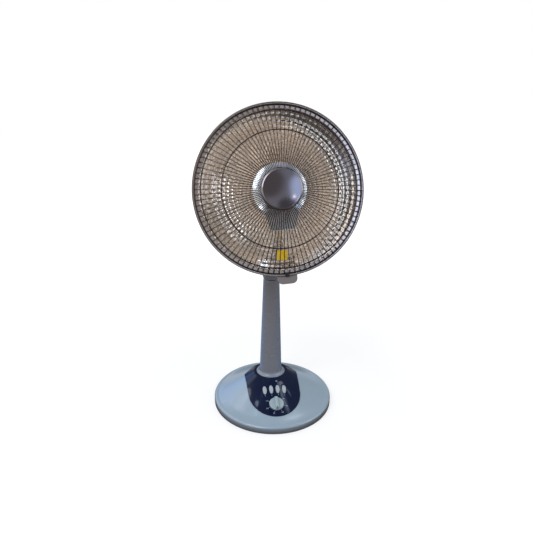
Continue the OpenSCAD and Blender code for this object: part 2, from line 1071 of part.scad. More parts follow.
// A disc with a tapered tail, which leaves the disc at shield_neck degrees from its middle
module shield_outline(inset = 0) {
    corner = 8;
    neck_round = 2;
    circle(d = shield_d - 2 * inset);
    hull()
        for (s = [-1, 1]) {
            translate([s * (shield_low_w / 2 - corner), -shield_drop + corner])
                circle(r = corner - inset, $fn = 32);
            rotate([0, 0, s * shield_neck])
                translate([0, neck_round - shield_d / 2])
                    circle(r = neck_round - inset, $fn = 32);
        }
}

// Bulb-shaped mirror: a shallow pan that opens towards the dish
module element_shield() {
    color(steel)
    at_dish()
        difference() {
            translate([0, 0, shield_face - shield_rim])
                linear_extrude(height = shield_rim)
                    shield_outline();
            translate([0, 0, shield_face - shield_rim - 1])
                linear_extrude(height = shield_rim + 1 - shield_t)
                    shield_outline(shield_t);
        }
}

module shield_post() {
    foot_r = 16;
    foot_low = dish_h(foot_r) + 0.1;
    color(steel)
    at_dish() {
        translate([0, 0, foot_low])
            cylinder(r = foot_r, h = 3);
        translate([0, 0, foot_low])
            cylinder(d = post_d, h = shield_face - shield_t - foot_low);
    }
}

// Tube bent to an open ring, with a reverse bend at each end into a straight leg.
// The bends are a hair slimmer than the tube and lap into the ring and the legs.
module heating_element() {
    reach = element_r + leg_bend;
    open = asin((leg_x + leg_bend) / reach);
    leg_start = reach * cos(open);
    lap = 4;
    color([0.80, 0.70, 0.55])
    at_dish()
        translate([0, 0, element_h]) {
            rotate([0, 0, -90 + open])
                element_bend(element_r, 360 - 2 * open, element_tube_d);
            for (s = [0, 1])
                mirror([s, 0, 0]) {
                    translate([leg_x + leg_bend, -leg_start, 0])
                        rotate([0, 0, 90 + open - lap])
                            element_bend(leg_bend, 90 - open + 2 * lap, element_tube_d - 0.2);
                    translate([leg_x, -leg_start, 0])
                        rotate([90, 0, 0])
                            cylinder(d = element_tube_d, h = leg_end - leg_start, $fn = 24);
                }
        }
}

module element_bend(r, angle, d) {
    rotate_extrude(angle = angle)
        translate([r, 0])
            circle(d = d, $fn = 24);
}

module element_caps() {
    color(ceramic_white)
    at_dish()
        for (s = [-1, 1])
            translate([s * leg_x, -leg_end, element_h])
                rotate([90, 0, 0])
                    cylinder(d = element_tube_d + 5, h = cap_l);
}

// T-shaped plate: a stem on the dish and a bar behind the two ceramic ends
module element_holder() {
    bar_w = 52;
    bar_h = 20;
    stem_w = 18;
    y = leg_end + cap_l + holder_t;
    bar_low = element_h - bar_h / 2;
    low = dish_h(norm([stem_w / 2, y])) + 0.6;
    color(champagne)
    at_dish() {
        translate([-bar_w / 2, -y, bar_low])
            cube([bar_w, holder_t, bar_h]);
        translate([-stem_w / 2, -y, low])
            cube([stem_w, holder_t, bar_low - low]);
    }
}

// ---------- back of the head ----------

housing_r = 90;
housing_wall = 2.5;
housing_back = dish_depth + 41;
web_t = 3;
ear_t = 3;
ear_x = barrel_w / 2 + seat_clear;
ear_r = 13;
web_w = 62;
web_high = -34;
vent_count = 14;

module rear_housing() {
    round = 8;
    front = shell_h(housing_r) - shell_t - touch;
    inner_front = shell_h(housing_r - housing_wall) - shell_t - touch;
    color(column_grey)
    at_head()
        difference() {
            rotate_extrude()
                polygon(concat(
                    [[0, -housing_back], [housing_r - round, -housing_back]],
                    arc([housing_r - round, -housing_back + round], round, -90, 0, 6),
                    [[housing_r, front], [housing_r - housing_wall, inner_front]],
                    arc([housing_r - round, -housing_back + round], round - housing_wall, 0, -90, 6),
                    [[0, -housing_back + housing_wall]]
                ));
            for (i = [0:vent_count - 1])
                if (abs((i + 0.5) / vent_count - 0.75) > 0.13)
                    rotate([0, 0, 360 * (i + 0.5) / vent_count])
                        translate([38, -2, -housing_back - 1])
                            cube([34, 4, housing_wall + 2]);
            bracket_screw_places()
                translate([0, 0, -6])
                    cylinder(d = 4, h = 12);
        }
}

module bracket_screw_places() {
    for (x = [-web_w / 2 + 8, web_w / 2 - 8])
        for (y = [hinge_y + 6, web_high - 8])
            translate([x, y, -housing_back])
                children();
}

module tilt_bracket() {
    color(steel)
    at_head()
        difference() {
            union() {
                translate([-web_w / 2, hinge_y - 6, -housing_back - web_t])
                    cube([web_w, web_high - hinge_y + 6, web_t]);
                for (s = [-1, 1])
                    translate([s > 0 ? ear_x : -ear_x - ear_t, 0, 0]) {
                        translate([0, hinge_y - 6, -hinge_back])
                            cube([ear_t, web_high - hinge_y, hinge_back - housing_back - 1]);
                        translate([0, hinge_y, -hinge_back])
                            rotate([0, 90, 0])
                                cylinder(r = ear_r, h = ear_t);
                    }
            }
            translate([-web_w, hinge_y, -hinge_back])
                rotate([0, 90, 0])
                    cylinder(d = tilt_bolt_d + 2 * run_clear, h = 2 * web_w);
            bracket_screw_places()
                translate([0, 0, -web_t - 1])
                    cylinder(d = 4 + 2 * run_clear, h = web_t + 2);
        }
}

module bracket_screws() {
    color(steel)
    at_head()
        bracket_screw_places() {
            translate([0, 0, -web_t - 2.4])
                cylinder(d = 8, h = 2.4);
            translate([0, 0, -web_t - 2.4])
                cylinder(d = 4 - 2 * touch, h = web_t + 2.4 + 7);
        }
}

bolt_half = ear_x + ear_t;

module tilt_bolt() {
    color(steel)
    translate([0, column_back, hinge_z])
        rotate([0, 90, 0]) {
            translate([0, 0, -bolt_half - 5])
                cylinder(d = 17, h = 5, $fn = 6);
            translate([0, 0, -bolt_half])
                cylinder(d = tilt_bolt_d, h = 2 * bolt_half + 8);
        }
}

module tilt_nut() {
    color(steel)
    translate([bolt_half, column_back, hinge_z])
        rotate([0, 90, 0])
            difference() {
                cylinder(d = 17, h = 6, $fn = 6);
                translate([0, 0, -1])
                    cylinder(d = tilt_bolt_d + 2 * touch, h = 9);
            }
}

module thermal_cutout() {
    at_r = 44;
    low = shell_h(at_r - 8) - shell_t - touch;
    color(steel)
    at_head()
        translate([at_r, 0, low - 6])
            cylinder(d = 16, h = 6);
}

module head_terminal() {
    color(ceramic_white)
    at_head()
        translate([-20, 26, -housing_back + housing_wall])
            cube([40, 18, 12]);
}

// ---------- lug and clip at the bottom of the rim ----------

lug_w = 50;
lug_drop = 20;
lug_round = 13;
lug_back = -20;
lug_front = 1;
clip_w = 10;

module rim_lug() {
    low = head_r + lug_drop;
    color(lug_brown)
    at_dish()
        difference() {
            translate([0, 0, lug_back])
                linear_extrude(height = lug_front - lug_back)
                    polygon(concat(
                        [[-lug_w / 2, -lip_r + 4], [-lug_w / 2, -low + lug_round]],
                        arc([-lug_w / 2 + lug_round, -low + lug_round], lug_round, 180, 270, 6),
                        arc([lug_w / 2 - lug_round, -low + lug_round], lug_round, 270, 360, 6),
                        [[lug_w / 2, -lip_r + 4]]
                    ));
            translate([0, 0, band_back - touch])
                cylinder(r = head_r + 5 * touch, h = 60);
            translate([0, -low + 10, lug_back - 1])
                cylinder(d = 4, h = 14);
        }
}

module lug_screw() {
    low = head_r + lug_drop;
    color(steel)
    at_dish()
        translate([0, -low + 10, lug_back - 2.4]) {
            cylinder(d = 8, h = 2.4);
            cylinder(d = 4 - 2 * touch, h = 12);
        }
}

// Clip that stands on the lug and laps over the guard's outer ring and the band
module lock_clip() {
    t = 1.2;
    front = max(outer_ring_d, band_front) + 3 * touch;
    out = head_r + touch;
    low = lug_front + touch;
    color(black)
    at_dish()
        difference() {
            translate([-clip_w / 2, -out - t, low])
                cube([clip_w, out + t - head_r + 9, front + t - low]);
            translate([-clip_w, -out, low - 1])
                cube([2 * clip_w, 30, front - low + 1]);
        }
}

base_cover();
base_plate();
base_weight();
rubber_feet();
base_screws();
control_panel();
indicator_lens();
switch_block();
timer_body();
tipover_switch();
terminal_block();
cord_gland();
supply_lead();
column_collar();
column();
column_tube();
tube_nut();
column_head();
swing_yoke();
yoke_screws();
swivel_washer();
button(0);  // button_off
button(1);  // button_low
button(2);  // button_high
button(3);  // button_swing
timer_knob();
timer_shaft();
tipover_plunger();
neck_cup();
neck_cover();
swing_motor();
motor_screws();
swing_crank();
motor_shaft();
tilt_bracket();
tilt_bolt();
tilt_nut();
bracket_screws();
rear_shell();
rear_housing();
reflector();
rim_band();
grille_spokes();
grille_rings();
grille_hub();
centre_cap();
cap_screw();
element_shield();
shield_post();
heating_element();
element_caps();
element_holder();
thermal_cutout();
head_terminal();
rim_lug();
lock_clip();
lug_screw();
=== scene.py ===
"""Looks of the pedestal parabolic heater: finishes, embossed dish, mirror, cap, panel and marks.

Sizes are in millimetres, as in the part's source, and are turned to metres where a mesh is made.
"""

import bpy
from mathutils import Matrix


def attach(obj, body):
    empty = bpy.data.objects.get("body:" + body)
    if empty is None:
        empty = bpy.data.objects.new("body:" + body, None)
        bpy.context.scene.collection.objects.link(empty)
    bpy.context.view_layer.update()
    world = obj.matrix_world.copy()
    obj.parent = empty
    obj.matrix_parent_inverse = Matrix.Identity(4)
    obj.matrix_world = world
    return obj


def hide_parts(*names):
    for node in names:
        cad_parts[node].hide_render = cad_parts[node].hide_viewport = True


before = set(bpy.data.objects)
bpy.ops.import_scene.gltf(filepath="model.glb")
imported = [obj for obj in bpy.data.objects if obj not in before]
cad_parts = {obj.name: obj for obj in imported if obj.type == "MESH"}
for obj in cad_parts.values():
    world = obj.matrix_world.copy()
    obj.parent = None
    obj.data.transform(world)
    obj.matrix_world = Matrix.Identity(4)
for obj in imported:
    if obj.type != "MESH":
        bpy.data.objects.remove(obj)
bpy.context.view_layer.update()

import logging
import math
from dataclasses import dataclass, field
from enum import Enum

import bmesh
import bpy
import numpy as np
from mathutils import Matrix

LOG = logging.getLogger("heater")
MM = 0.001
Array = np.ndarray


# ---------- meshes ----------


@dataclass(frozen=True)
class Placement:
    """A local frame: an origin in millimetres and a turn from local to object axes."""

    origin: tuple[float, float, float]
    tilt: float = 0.0
    turn: float = 0.0

    def axes(self) -> Array:
        """Works out the local axes: a turn about z, then a tilt about the object's x.

        Returns:
            An array whose rows are the local x, y and z axes.
        """
        a, t = math.radians(self.tilt), math.radians(self.turn)
        tilt = np.array([[1, 0, 0], [0, math.cos(a), math.sin(a)], [0, -math.sin(a), math.cos(a)]])
        turn = np.array([[math.cos(t), math.sin(t), 0], [-math.sin(t), math.cos(t), 0], [0, 0, 1]])
        return turn @ tilt

    def to_object(self, points: Array) -> Array:
        """Takes points of the local frame to the object's frame.

        Args:
            points: An array of shape (..., 3), in millimetres.

        Returns:
            The same points in the object's frame, in millimetres.
        """
        return np.asarray(points, float) @ self.axes() + np.array(self.origin)


def grid_faces(rows: int, columns: int, wrap_rows: bool = False, wrap_columns: bool = True) -> Array:
    """Quads of a grid whose points are numbered row by row.

    Args:
        rows: Number of rows of points.
        columns: Number of points in a row.
        wrap_rows: Joins the last row to the first.
        wrap_columns: Joins the last column to the first.

    Returns:
        An array of shape (faces, 4) of point numbers.
    """
    i = np.arange(rows if wrap_rows else rows - 1)[:, None]
    j = np.arange(columns if wrap_columns else columns - 1)[None, :]
    i2, j2 = (i + 1) % rows, (j + 1) % columns
    quads = np.stack([i * columns + j, i * columns + j2, i2 * columns + j2, i2 * columns + j], axis=-1)
    return quads.reshape(-1, 4)


def tidy_mesh(mesh: bpy.types.Mesh, sharp_angle: float, weld: float = 0.002) -> None:
    """Merges doubles, turns the faces outwards, and shades smooth but for the sharp edges.

    Args:
        mesh: The mesh to tidy, in metres.
        sharp_angle: Edges sharper than this, in degrees, stay crisp.
        weld: Points nearer than this, in millimetres, are merged; edges under a quarter of it go.
    """
    shape = bmesh.new()
    shape.from_mesh(mesh)
    bmesh.ops.remove_doubles(shape, verts=shape.verts, dist=weld * MM)
    bmesh.ops.dissolve_degenerate(shape, edges=shape.edges, dist=weld * MM / 4)
    bmesh.ops.recalc_face_normals(shape, faces=shape.faces)
    shape.to_mesh(mesh)
    shape.free()
    mesh.shade_smooth()
    mesh.set_sharp_from_angle(angle=math.radians(sharp_angle))


def new_piece(name: str, points: Array, faces: Array | list, sharp_angle: float = 35.0) -> bpy.types.Object:
    """Makes an object at the origin from points and faces.

    Args:
        name: The piece's name.
        points: Points in the object's frame, in millimetres, of shape (count, 3).
        faces: Lists or an array of point numbers.
        sharp_angle: Edges sharper than this, in degrees, stay crisp.

    Returns:
        The new object, linked to the scene.
    """
    mesh = bpy.data.meshes.new(name)
    rows = faces.tolist() if isinstance(faces, np.ndarray) else faces
    mesh.from_pydata((np.asarray(points, float).reshape(-1, 3) * MM).tolist(), [], rows)
    tidy_mesh(mesh, sharp_angle)
    piece = bpy.data.objects.new(name, mesh)
    bpy.context.scene.collection.objects.link(piece)
    return piece


def welded_copy(node: str, sharp_angle: float) -> bpy.types.Object:
    """Copies a CAD node's mesh, joins its loose triangles and shades its facets smooth.

    Args:
        node: Name of the CAD node.
        sharp_angle: Edges sharper than this, in degrees, stay crisp.

    Returns:
        The new object, named after the node.
    """
    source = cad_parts[node].data
    points = np.zeros(len(source.vertices) * 3, np.float32)
    source.vertices.foreach_get("co", points)
    corners = np.zeros(len(source.loops), np.int32)
    source.loops.foreach_get("vertex_index", corners)
    return new_piece(node + "_skin", points.reshape(-1, 3) / MM, corners.reshape(-1, 3), sharp_angle)


def revolve(
    name: str, profile: Array, place: Placement, around: int = 128, sharp_angle: float = 40.0
) -> bpy.types.Object:
    """Turns a closed profile about the local z axis.

    Args:
        name: The piece's name.
        profile: Points (r, z) of a closed outline, in millimetres.
        place: Where the local frame stands.
        around: Number of steps in a full turn.
        sharp_angle: Edges sharper than this, in degrees, stay crisp.

    Returns:
        The new object.
    """
    angle = np.linspace(0, 2 * np.pi, around, endpoint=False)
    r, z = profile[:, 0][:, None], profile[:, 1][:, None]
    points = np.stack([r * np.cos(angle), r * np.sin(angle), z + 0 * angle], axis=-1)
    faces = grid_faces(len(profile), around, wrap_rows=True)
    return new_piece(name, place.to_object(points), faces, sharp_angle)


def place_piece(piece: bpy.types.Object, body: str, slot: str, *nodes: str) -> bpy.types.Object:
    """Lets a piece ride on a body, hides the CAD nodes that it replaces, and reports it.

    Args:
        piece: The new piece.
        body: The CAD body it moves with.
        slot: The record's material slot; not used.
        nodes: CAD nodes that it replaces.

    Returns:
        The piece.
    """
    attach(piece, body)
    if nodes:
        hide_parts(*nodes)
    LOG.info("%s: %d faces on %s", piece.name, len(piece.data.polygons), body)
    return piece


# ---------- finishes ----------


def linear(code: str) -> tuple[float, float, float, float]:
    """Turns an sRGB hex colour to a linear one.

    Args:
        code: The colour, as #rrggbb.

    Returns:
        Linear red, green and blue, and full opacity.
    """
    parts = [int(code[i : i + 2], 16) / 255 for i in (1, 3, 5)]
    red, green, blue = (c / 12.92 if c <= 0.04045 else ((c + 0.055) / 1.055) ** 2.4 for c in parts)
    return red, green, blue, 1.0


def add_node(
    tree: bpy.types.NodeTree, kind: str, inputs: dict | None = None, **settings: object
) -> bpy.types.Node:
    """Adds one node, sets it and links it.

    A Mix node's colours go in at its sockets 6 and 7, by the factor at 0, and come out at 2.

    Args:
        tree: The material's or world's node tree.
        kind: The node's type name.
        inputs: Socket name or number to a value, or to an output socket to link.
        settings: The node's own settings.

    Returns:
        The new node.
    """
    node = tree.nodes.new(kind)
    for key, value in settings.items():
        setattr(node, key, value)
    for key, value in (inputs or {}).items():
        if isinstance(value, bpy.types.NodeSocket):
            tree.links.new(value, node.inputs[key])
        else:
            node.inputs[key].default_value = value
    return node


def per_metre(size: float) -> float:
    """Texture scale at which one feature is about size millimetres."""
    return 1 / (size * MM)


@dataclass(frozen=True)
class Finish:
    """A finish: its main colour, a second shade that drifts through it, and its fine relief.

    The drift breaks up the flat colour as handling, dust and moulding do; the grain is the relief
    that the surface has when looked at closely. Sizes and the grain's depth are in millimetres.
    The real grain of plastics and platings, about 0.1, is too fine to show: it is drawn as coarse
    as it needs to show.
    """

    name: str
    colour: str
    shade: str
    roughness: float = 0.4
    roughness_drift: float = 0.06
    metallic: float = 0.0
    ior: float = 1.5
    # Sheen: a tinted lobe that lightens grazing edges; where it is set, it is a painted highlight
    sheen: float = 0.0
    sheen_roughness: float = 0.5
    sheen_tint: str = "#ffffff"
    drift_size: float = 60.0
    drift_amount: float = 0.5
    grain_size: float = 1.2
    grain_depth: float = 0.02
    # Texture detail: clouds of three octaves, stretched to full contrast, and a finer grain
    drift_detail: float = 3.0
    drift_falloff: float = 0.55
    drift_span: tuple[float, float] = (0.3, 0.7)
    grain_detail: float = 2.0

    def material(self) -> bpy.types.Material:
        """Builds the material once and gives the same one after that.

        Returns:
            The material.
        """
        found = bpy.data.materials.get(self.name)
        if found:
            return found
        made = bpy.data.materials.new(self.name)
        made.use_nodes = True
        tree = made.node_tree
        tree.nodes.clear()
        shader = add_node(tree, "ShaderNodeBsdfPrincipled", {"Metallic": self.metallic})
        if not self.metallic:
            shader.inputs["IOR"].default_value = self.ior
        if self.sheen:
            shader.inputs["Sheen Weight"].default_value = self.sheen
            shader.inputs["Sheen Roughness"].default_value = self.sheen_roughness
            shader.inputs["Sheen Tint"].default_value = linear(self.sheen_tint)
        add_node(tree, "ShaderNodeOutputMaterial", {"Surface": shader.outputs["BSDF"]})
        place = add_node(tree, "ShaderNodeTexCoord").outputs["Object"]
        self.dress(tree, shader, place)
        return made

    def drift(self, tree: bpy.types.NodeTree, place: bpy.types.NodeSocket) -> bpy.types.NodeSocket:
        """Adds slow cloudy noise.

        Args:
            tree: The material's node tree.
            place: Object coordinates, in metres.

        Returns:
            The noise, from 0 to 1 over the surface.
        """
        noise = add_node(
            tree,
            "ShaderNodeTexNoise",
            {"Vector": place, "Scale": per_metre(self.drift_size), "Detail": self.drift_detail,
             "Roughness": self.drift_falloff},
        )
        low, high = self.drift_span
        return add_node(
            tree, "ShaderNodeMapRange", {"Value": noise.outputs["Fac"], "From Min": low, "From Max": high}
        ).outputs["Result"]

    def dress(
        self, tree: bpy.types.NodeTree, shader: bpy.types.Node, place: bpy.types.NodeSocket
    ) -> None:
        """Links colour, roughness and relief into the shader.

        Args:
            tree: The material's node tree.
            shader: Its Principled shader.
            place: Object coordinates, in metres.
        """
        drift = self.drift(tree, place)
        amount = add_node(
            tree, "ShaderNodeMath", {0: drift, 1: self.drift_amount}, operation="MULTIPLY"
        ).outputs[0]
        self.colour_in(tree, shader, amount)
        self.roughness_in(tree, shader, drift)
        grain = add_node(
            tree,
            "ShaderNodeTexNoise",
            {"Vector": place, "Scale": per_metre(self.grain_size), "Detail": self.grain_detail},
        )
        self.relief_in(tree, shader, grain.outputs["Fac"])

    def colour_in(
        self, tree: bpy.types.NodeTree, shader: bpy.types.Node, mix: bpy.types.NodeSocket
    ) -> None:
        """Mixes the shade into the colour and gives it to the shader.

        Args:
            tree: The material's node tree.
            shader: Its Principled shader.
            mix: The shade's share, from 0 to 1.
        """
        blend = add_node(
            tree,
            "ShaderNodeMix",
            {0: mix, 6: linear(self.colour), 7: linear(self.shade)},
            data_type="RGBA",
        )
        tree.links.new(blend.outputs[2], shader.inputs["Base Color"])

    def roughness_in(
        self, tree: bpy.types.NodeTree, shader: bpy.types.Node, value: bpy.types.NodeSocket
    ) -> None:
        """Lets the roughness drift about its middle value.

        Args:
            tree: The material's node tree.
            shader: Its Principled shader.
            value: The drift, from 0 to 1.
        """
        low, high = self.roughness - self.roughness_drift, self.roughness + self.roughness_drift
        spread = add_node(tree, "ShaderNodeMapRange", {"Value": value, "To Min": low, "To Max": high})
        tree.links.new(spread.outputs["Result"], shader.inputs["Roughness"])

    def relief_in(
        self, tree: bpy.types.NodeTree, shader: bpy.types.Node, height: bpy.types.NodeSocket
    ) -> None:
        """Gives the shader a bump as deep as the grain.

        Args:
            tree: The material's node tree.
            shader: Its Principled shader.
            height: The relief, from 0 to 1.
        """
        bump = add_node(
            tree, "ShaderNodeBump", {"Height": height, "Distance": self.grain_depth * MM, "Strength": 1.0}
        )
        tree.links.new(bump.outputs["Normal"], shader.inputs["Normal"])


@dataclass(frozen=True)
class PaintedShadeFoot(Finish):
    """A shell whose colour darkens to a grey-brown towards the floor: painted shade on its low wall."""

    foot_high: float = 21.0
    foot_painted_shade: str = "#4b3d35"

    def colour_in(
        self, tree: bpy.types.NodeTree, shader: bpy.types.Node, mix: bpy.types.NodeSocket
    ) -> None:
        """As any finish, with a painted shade laid over the lowest part by its height.

        Args:
            tree: The material's node tree.
            shader: Its Principled shader.
            mix: The shade's share, from 0 to 1.
        """
        super().colour_in(tree, shader, mix)
        shell = shader.inputs["Base Color"].links[0].from_socket
        place = add_node(tree, "ShaderNodeTexCoord").outputs["Object"]
        high = add_node(tree, "ShaderNodeSeparateXYZ", {0: place}).outputs["Z"]
        # Painted shade: the colour runs to the dark shade over the lowest part, fully at the floor
        painted_shade_share = add_node(
            tree,
            "ShaderNodeMapRange",
            {"Value": high, "From Max": self.foot_high * MM, "To Min": 1.0, "To Max": 0.0},
        ).outputs["Result"]
        both = add_node(
            tree, "ShaderNodeMix", {0: painted_shade_share, 6: shell, 7: linear(self.foot_painted_shade)}, data_type="RGBA"
        )
        tree.links.new(both.outputs[2], shader.inputs["Base Color"])


@dataclass(frozen=True)
class ClearLens(Finish):
    """Tinted transparent plastic: light passes through it and it glints."""

    transmission: float = 0.6

    def dress(
        self, tree: bpy.types.NodeTree, shader: bpy.types.Node, place: bpy.types.NodeSocket
    ) -> None:
        """As any finish, with light let through."""
        super().dress(tree, shader, place)
        shader.inputs["Transmission Weight"].default_value = self.transmission


# The dish's frame, as in the part's source: z runs out along its axis, which leans up
HEAD_TILT = 17.0
DISH_TURN = 4.0
DISH = Placement((0.0, -90.0, 670.5), tilt=90 - HEAD_TILT, turn=DISH_TURN)


class Shop(Enum):
    """The finishes of this heater."""

    # Moulded ABS, nearly polished: soft highlights on a pale grey-blue, with painted shade making it
    # browner at the foot
    BASE_SHELL = PaintedShadeFoot(
        "moulded_abs_pale_blue", "#98a9b5", "#90a1ad", 0.2, 0.03, grain_size=0.9, grain_depth=0.003
    )
    # The same ABS in warm grey for column and neck; a blue-tinted sheen is a painted highlight that stands
    # in for bluish light on its edges
    COLUMN_SHELL = Finish(
        "moulded_abs_grey", "#87817f", "#807a78", 0.28, 0.03, grain_size=0.9, grain_depth=0.002,
        sheen=1.0, sheen_roughness=0.6, sheen_tint="#8fc0f0",
    )
    # The collar between them, a cooler grey
    COLLAR_SHELL = Finish(
        "moulded_abs_collar_grey", "#868e97", "#7f868f", 0.28, 0.03, grain_size=0.9, grain_depth=0.002
    )
    # Cast acrylic, polished: nearly black navy that mirrors the room sharply but weakly
    PANEL_GLOSS = Finish(
        "gloss_acrylic_navy", "#101a33", "#16213c", 0.06, 0.02, ior=1.25, grain_size=30, grain_depth=0.02
    )
    # Keys and knob: satin light grey ABS, the knob a shade bluer
    KEY_GREY = Finish(
        "moulded_abs_light_grey", "#aeb6b9", "#a2abaf", 0.32, grain_size=0.8, grain_depth=0.01
    )
    KNOB_GREY = Finish(
        "moulded_abs_blue_grey", "#a0b0b5", "#94a4aa", 0.32, grain_size=0.8, grain_depth=0.01
    )
    # Plain moulded plastics of the hidden parts: satin, each in its own even tone
    BLACK_PLASTIC = Finish("moulded_black_nylon", "#17181a", "#212225", 0.45)
    WHITE_PLASTIC = Finish("moulded_white_nylon", "#dcdad2", "#cfccc2", 0.42)
    LUG_BROWN = Finish("moulded_abs_warm_grey", "#7d7572", "#6f6764", 0.4)
    CREAM_SHELL = Finish("moulded_abs_cream", "#cdc3b2", "#beb4a3", 0.38)
    PLATE_PLASTIC = Finish("moulded_black_abs", "#1b1c1f", "#26272a", 0.5)
    # Silicone: soft, dull and slightly yellowed
    LEAD_SHEATH = Finish("silicone_sheath", "#cfceca", "#bdbcb8", 0.5)
    # Rubber: dull, with a little dust in it
    RUBBER = Finish("moulded_rubber", "#151515", "#242322", 0.75, grain_size=0.6, grain_depth=0.03)
    # Grey cast iron: coarse sand-cast skin
    CAST_IRON = Finish(
        "cast_iron", "#47474a", "#333235", 0.6, 0.1, metallic=1.0, grain_size=2.2, grain_depth=0.15
    )
    # Bright zinc on pressed steel: cloudy patches of different polish
    ZINC = Finish(
        "zinc_plated_steel", "#b9bbb8", "#8f9294", 0.32, 0.1, metallic=1.0, drift_size=9, grain_size=1.6
    )
    # Rolled steel, plated dark and burnished: nearly a mirror, brown-grey
    RIM_PLATE = Finish("dark_plated_steel_rim", "#8a8483", "#77716f", 0.16, 0.04, metallic=1.0)
    # Guard wire: drawn steel with a dark brown nickel coat, semi-gloss
    GUARD_WIRE = Finish(
        "dark_nickel_wire", "#3b302c", "#241d1b", 0.24, 0.05, metallic=1.0, drift_size=25, grain_size=0.8
    )
    # Embossed aluminium sheet: polished, and warmed by a coat of lacquer
    DISH_SHEET = Finish(
        "embossed_aluminium", "#f9f4ee", "#f1e9e1", 0.06, 0.02, metallic=0.95, drift_size=45,
        drift_amount=0.7, grain_size=2.5, grain_depth=0.01,
    )
    # Its flat flange, rolled and left duller and darker
    FLANGE_SHEET = Finish(
        "rolled_aluminium_flange", "#b0a8a2", "#99918b", 0.2, 0.05, metallic=1.0, drift_size=14,
        grain_size=3, grain_depth=0.02,
    )
    # Gunmetal plating, polished: a dark, sharp mirror
    CAP_METAL = Finish(
        "polished_gunmetal", "#696569", "#615d61", 0.1, 0.02, metallic=1.0, grain_size=8, grain_depth=0.003
    )
    # Bright aluminium sheet, lightly brushed: a pale, slightly soft mirror
    SHIELD_METAL = Finish(
        "mirror_aluminium", "#c4cbd0", "#b2bac0", 0.16, 0.04, metallic=1.0, drift_size=30, grain_size=6,
        grain_depth=0.01,
    )
    # Ceramic-coated heater tube, satin and a little browned by heat
    ELEMENT_TUBE = Finish("ceramic_coated_tube", "#eadccb", "#d3bfa6", 0.45, drift_size=12)
    # Unglazed steatite: chalky white with a fine tooth
    CERAMIC = Finish("steatite_ceramic", "#e6e1d5", "#d6d0c2", 0.35, grain_size=0.7, grain_depth=0.03)
    # Oil-blackened spring steel: black with a dull glint
    CLIP_STEEL = Finish("blackened_spring_steel", "#141416", "#26262a", 0.35, metallic=0.5)
    # Clear lens over a lamp that is off: pale, bluish and glinting
    LENS = ClearLens("clear_polycarbonate_lens", "#c3ccd6", "#aeb8c4", 0.1, 0.03)
    # Printed film: matt yellow with a faint fibre in it
    STICKER = Finish("yellow_paper_film", "#e2bc1d", "#cda516", 0.45, drift_size=8, grain_size=0.5)
    # Screen-printed ink: matt light grey
    INK = Finish("light_grey_ink", "#b7bdc4", "#a4abb3", 0.4, drift_size=3)

    def on(self, piece: bpy.types.Object) -> bpy.types.Object:
        """Gives a piece this finish in every material slot it has.

        Args:
            piece: The piece.

        Returns:
            The same piece.
        """
        made = self.value.material()
        if piece.material_slots:
            for place in piece.material_slots:
                place.material = made
        else:
            piece.data.materials.append(made)
        return piece


# ---------- the heater's assemblies ----------


@dataclass
class CadFinishes:
    """Finishes for the CAD nodes whose shape stays as it is."""

    choices: dict[str, Shop] = field(
        default_factory=lambda: {
            "base_plate": Shop.PLATE_PLASTIC, "base_weight": Shop.CAST_IRON, "rubber_feet": Shop.RUBBER,
            "base_screws": Shop.ZINC, "indicator_lens": Shop.LENS, "switch_block": Shop.BLACK_PLASTIC,
            "timer_body": Shop.WHITE_PLASTIC, "tipover_switch": Shop.BLACK_PLASTIC,
            "terminal_block": Shop.WHITE_PLASTIC, "cord_gland": Shop.BLACK_PLASTIC,
            "supply_lead": Shop.LEAD_SHEATH, "column_collar": Shop.COLLAR_SHELL,
            "column": Shop.COLUMN_SHELL, "column_tube": Shop.ZINC, "tube_nut": Shop.ZINC,
            "column_head": Shop.BLACK_PLASTIC,
            "swing_yoke": Shop.ZINC, "yoke_screws": Shop.ZINC, "swivel_washer": Shop.BLACK_PLASTIC,
            "button_off": Shop.KEY_GREY, "button_low": Shop.KEY_GREY, "button_high": Shop.KEY_GREY,
            "button_swing": Shop.KEY_GREY, "timer_knob": Shop.KNOB_GREY, "timer_shaft": Shop.ZINC,
            "tipover_plunger": Shop.WHITE_PLASTIC, "swing_motor": Shop.ZINC, "motor_screws": Shop.ZINC,
            "swing_crank": Shop.ZINC, "motor_shaft": Shop.ZINC, "tilt_bracket": Shop.ZINC,
            "tilt_bolt": Shop.ZINC, "tilt_nut": Shop.ZINC, "bracket_screws": Shop.ZINC,
            "rear_shell": Shop.CREAM_SHELL, "rear_housing": Shop.COLUMN_SHELL, "rim_band": Shop.RIM_PLATE,
            "grille_spokes": Shop.GUARD_WIRE, "grille_rings": Shop.GUARD_WIRE,
            "grille_hub": Shop.GUARD_WIRE, "cap_screw": Shop.ZINC, "shield_post": Shop.ZINC,
            "heating_element": Shop.ELEMENT_TUBE,
            "element_caps": Shop.CERAMIC, "element_holder": Shop.DISH_SHEET, "thermal_cutout": Shop.ZINC,
            "head_terminal": Shop.CERAMIC, "rim_lug": Shop.LUG_BROWN, "lock_clip": Shop.CLIP_STEEL,
            "lug_screw": Shop.ZINC,
        }
    )

    def dress(self) -> None:
        """Puts each finish on its node."""
        for node, finish in self.choices.items():
            finish.on(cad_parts[node])
        LOG.info("%d CAD nodes dressed", len(self.choices))


@dataclass
class Base:
    """Base cover and control panel; edges sharper than these angles, in degrees, stay crisp."""

    cover_edge: float = 14.0
    panel_edge: float = 20.0

    def cover(self) -> bpy.types.Object:
        """The moulded cover, smooth over its raised deck."""
        piece = Shop.BASE_SHELL.on(welded_copy("base_cover", self.cover_edge))
        return place_piece(piece, "stand", "cover_plastic", "base_cover")

    def panel(self) -> bpy.types.Object:
        """The glossy panel on the deck."""
        piece = Shop.PANEL_GLOSS.on(welded_copy("control_panel", self.panel_edge))
        return place_piece(piece, "stand", "panel_gloss", "control_panel")

    def build(self) -> None:
        """Builds both pieces."""
        self.cover()
        self.panel()


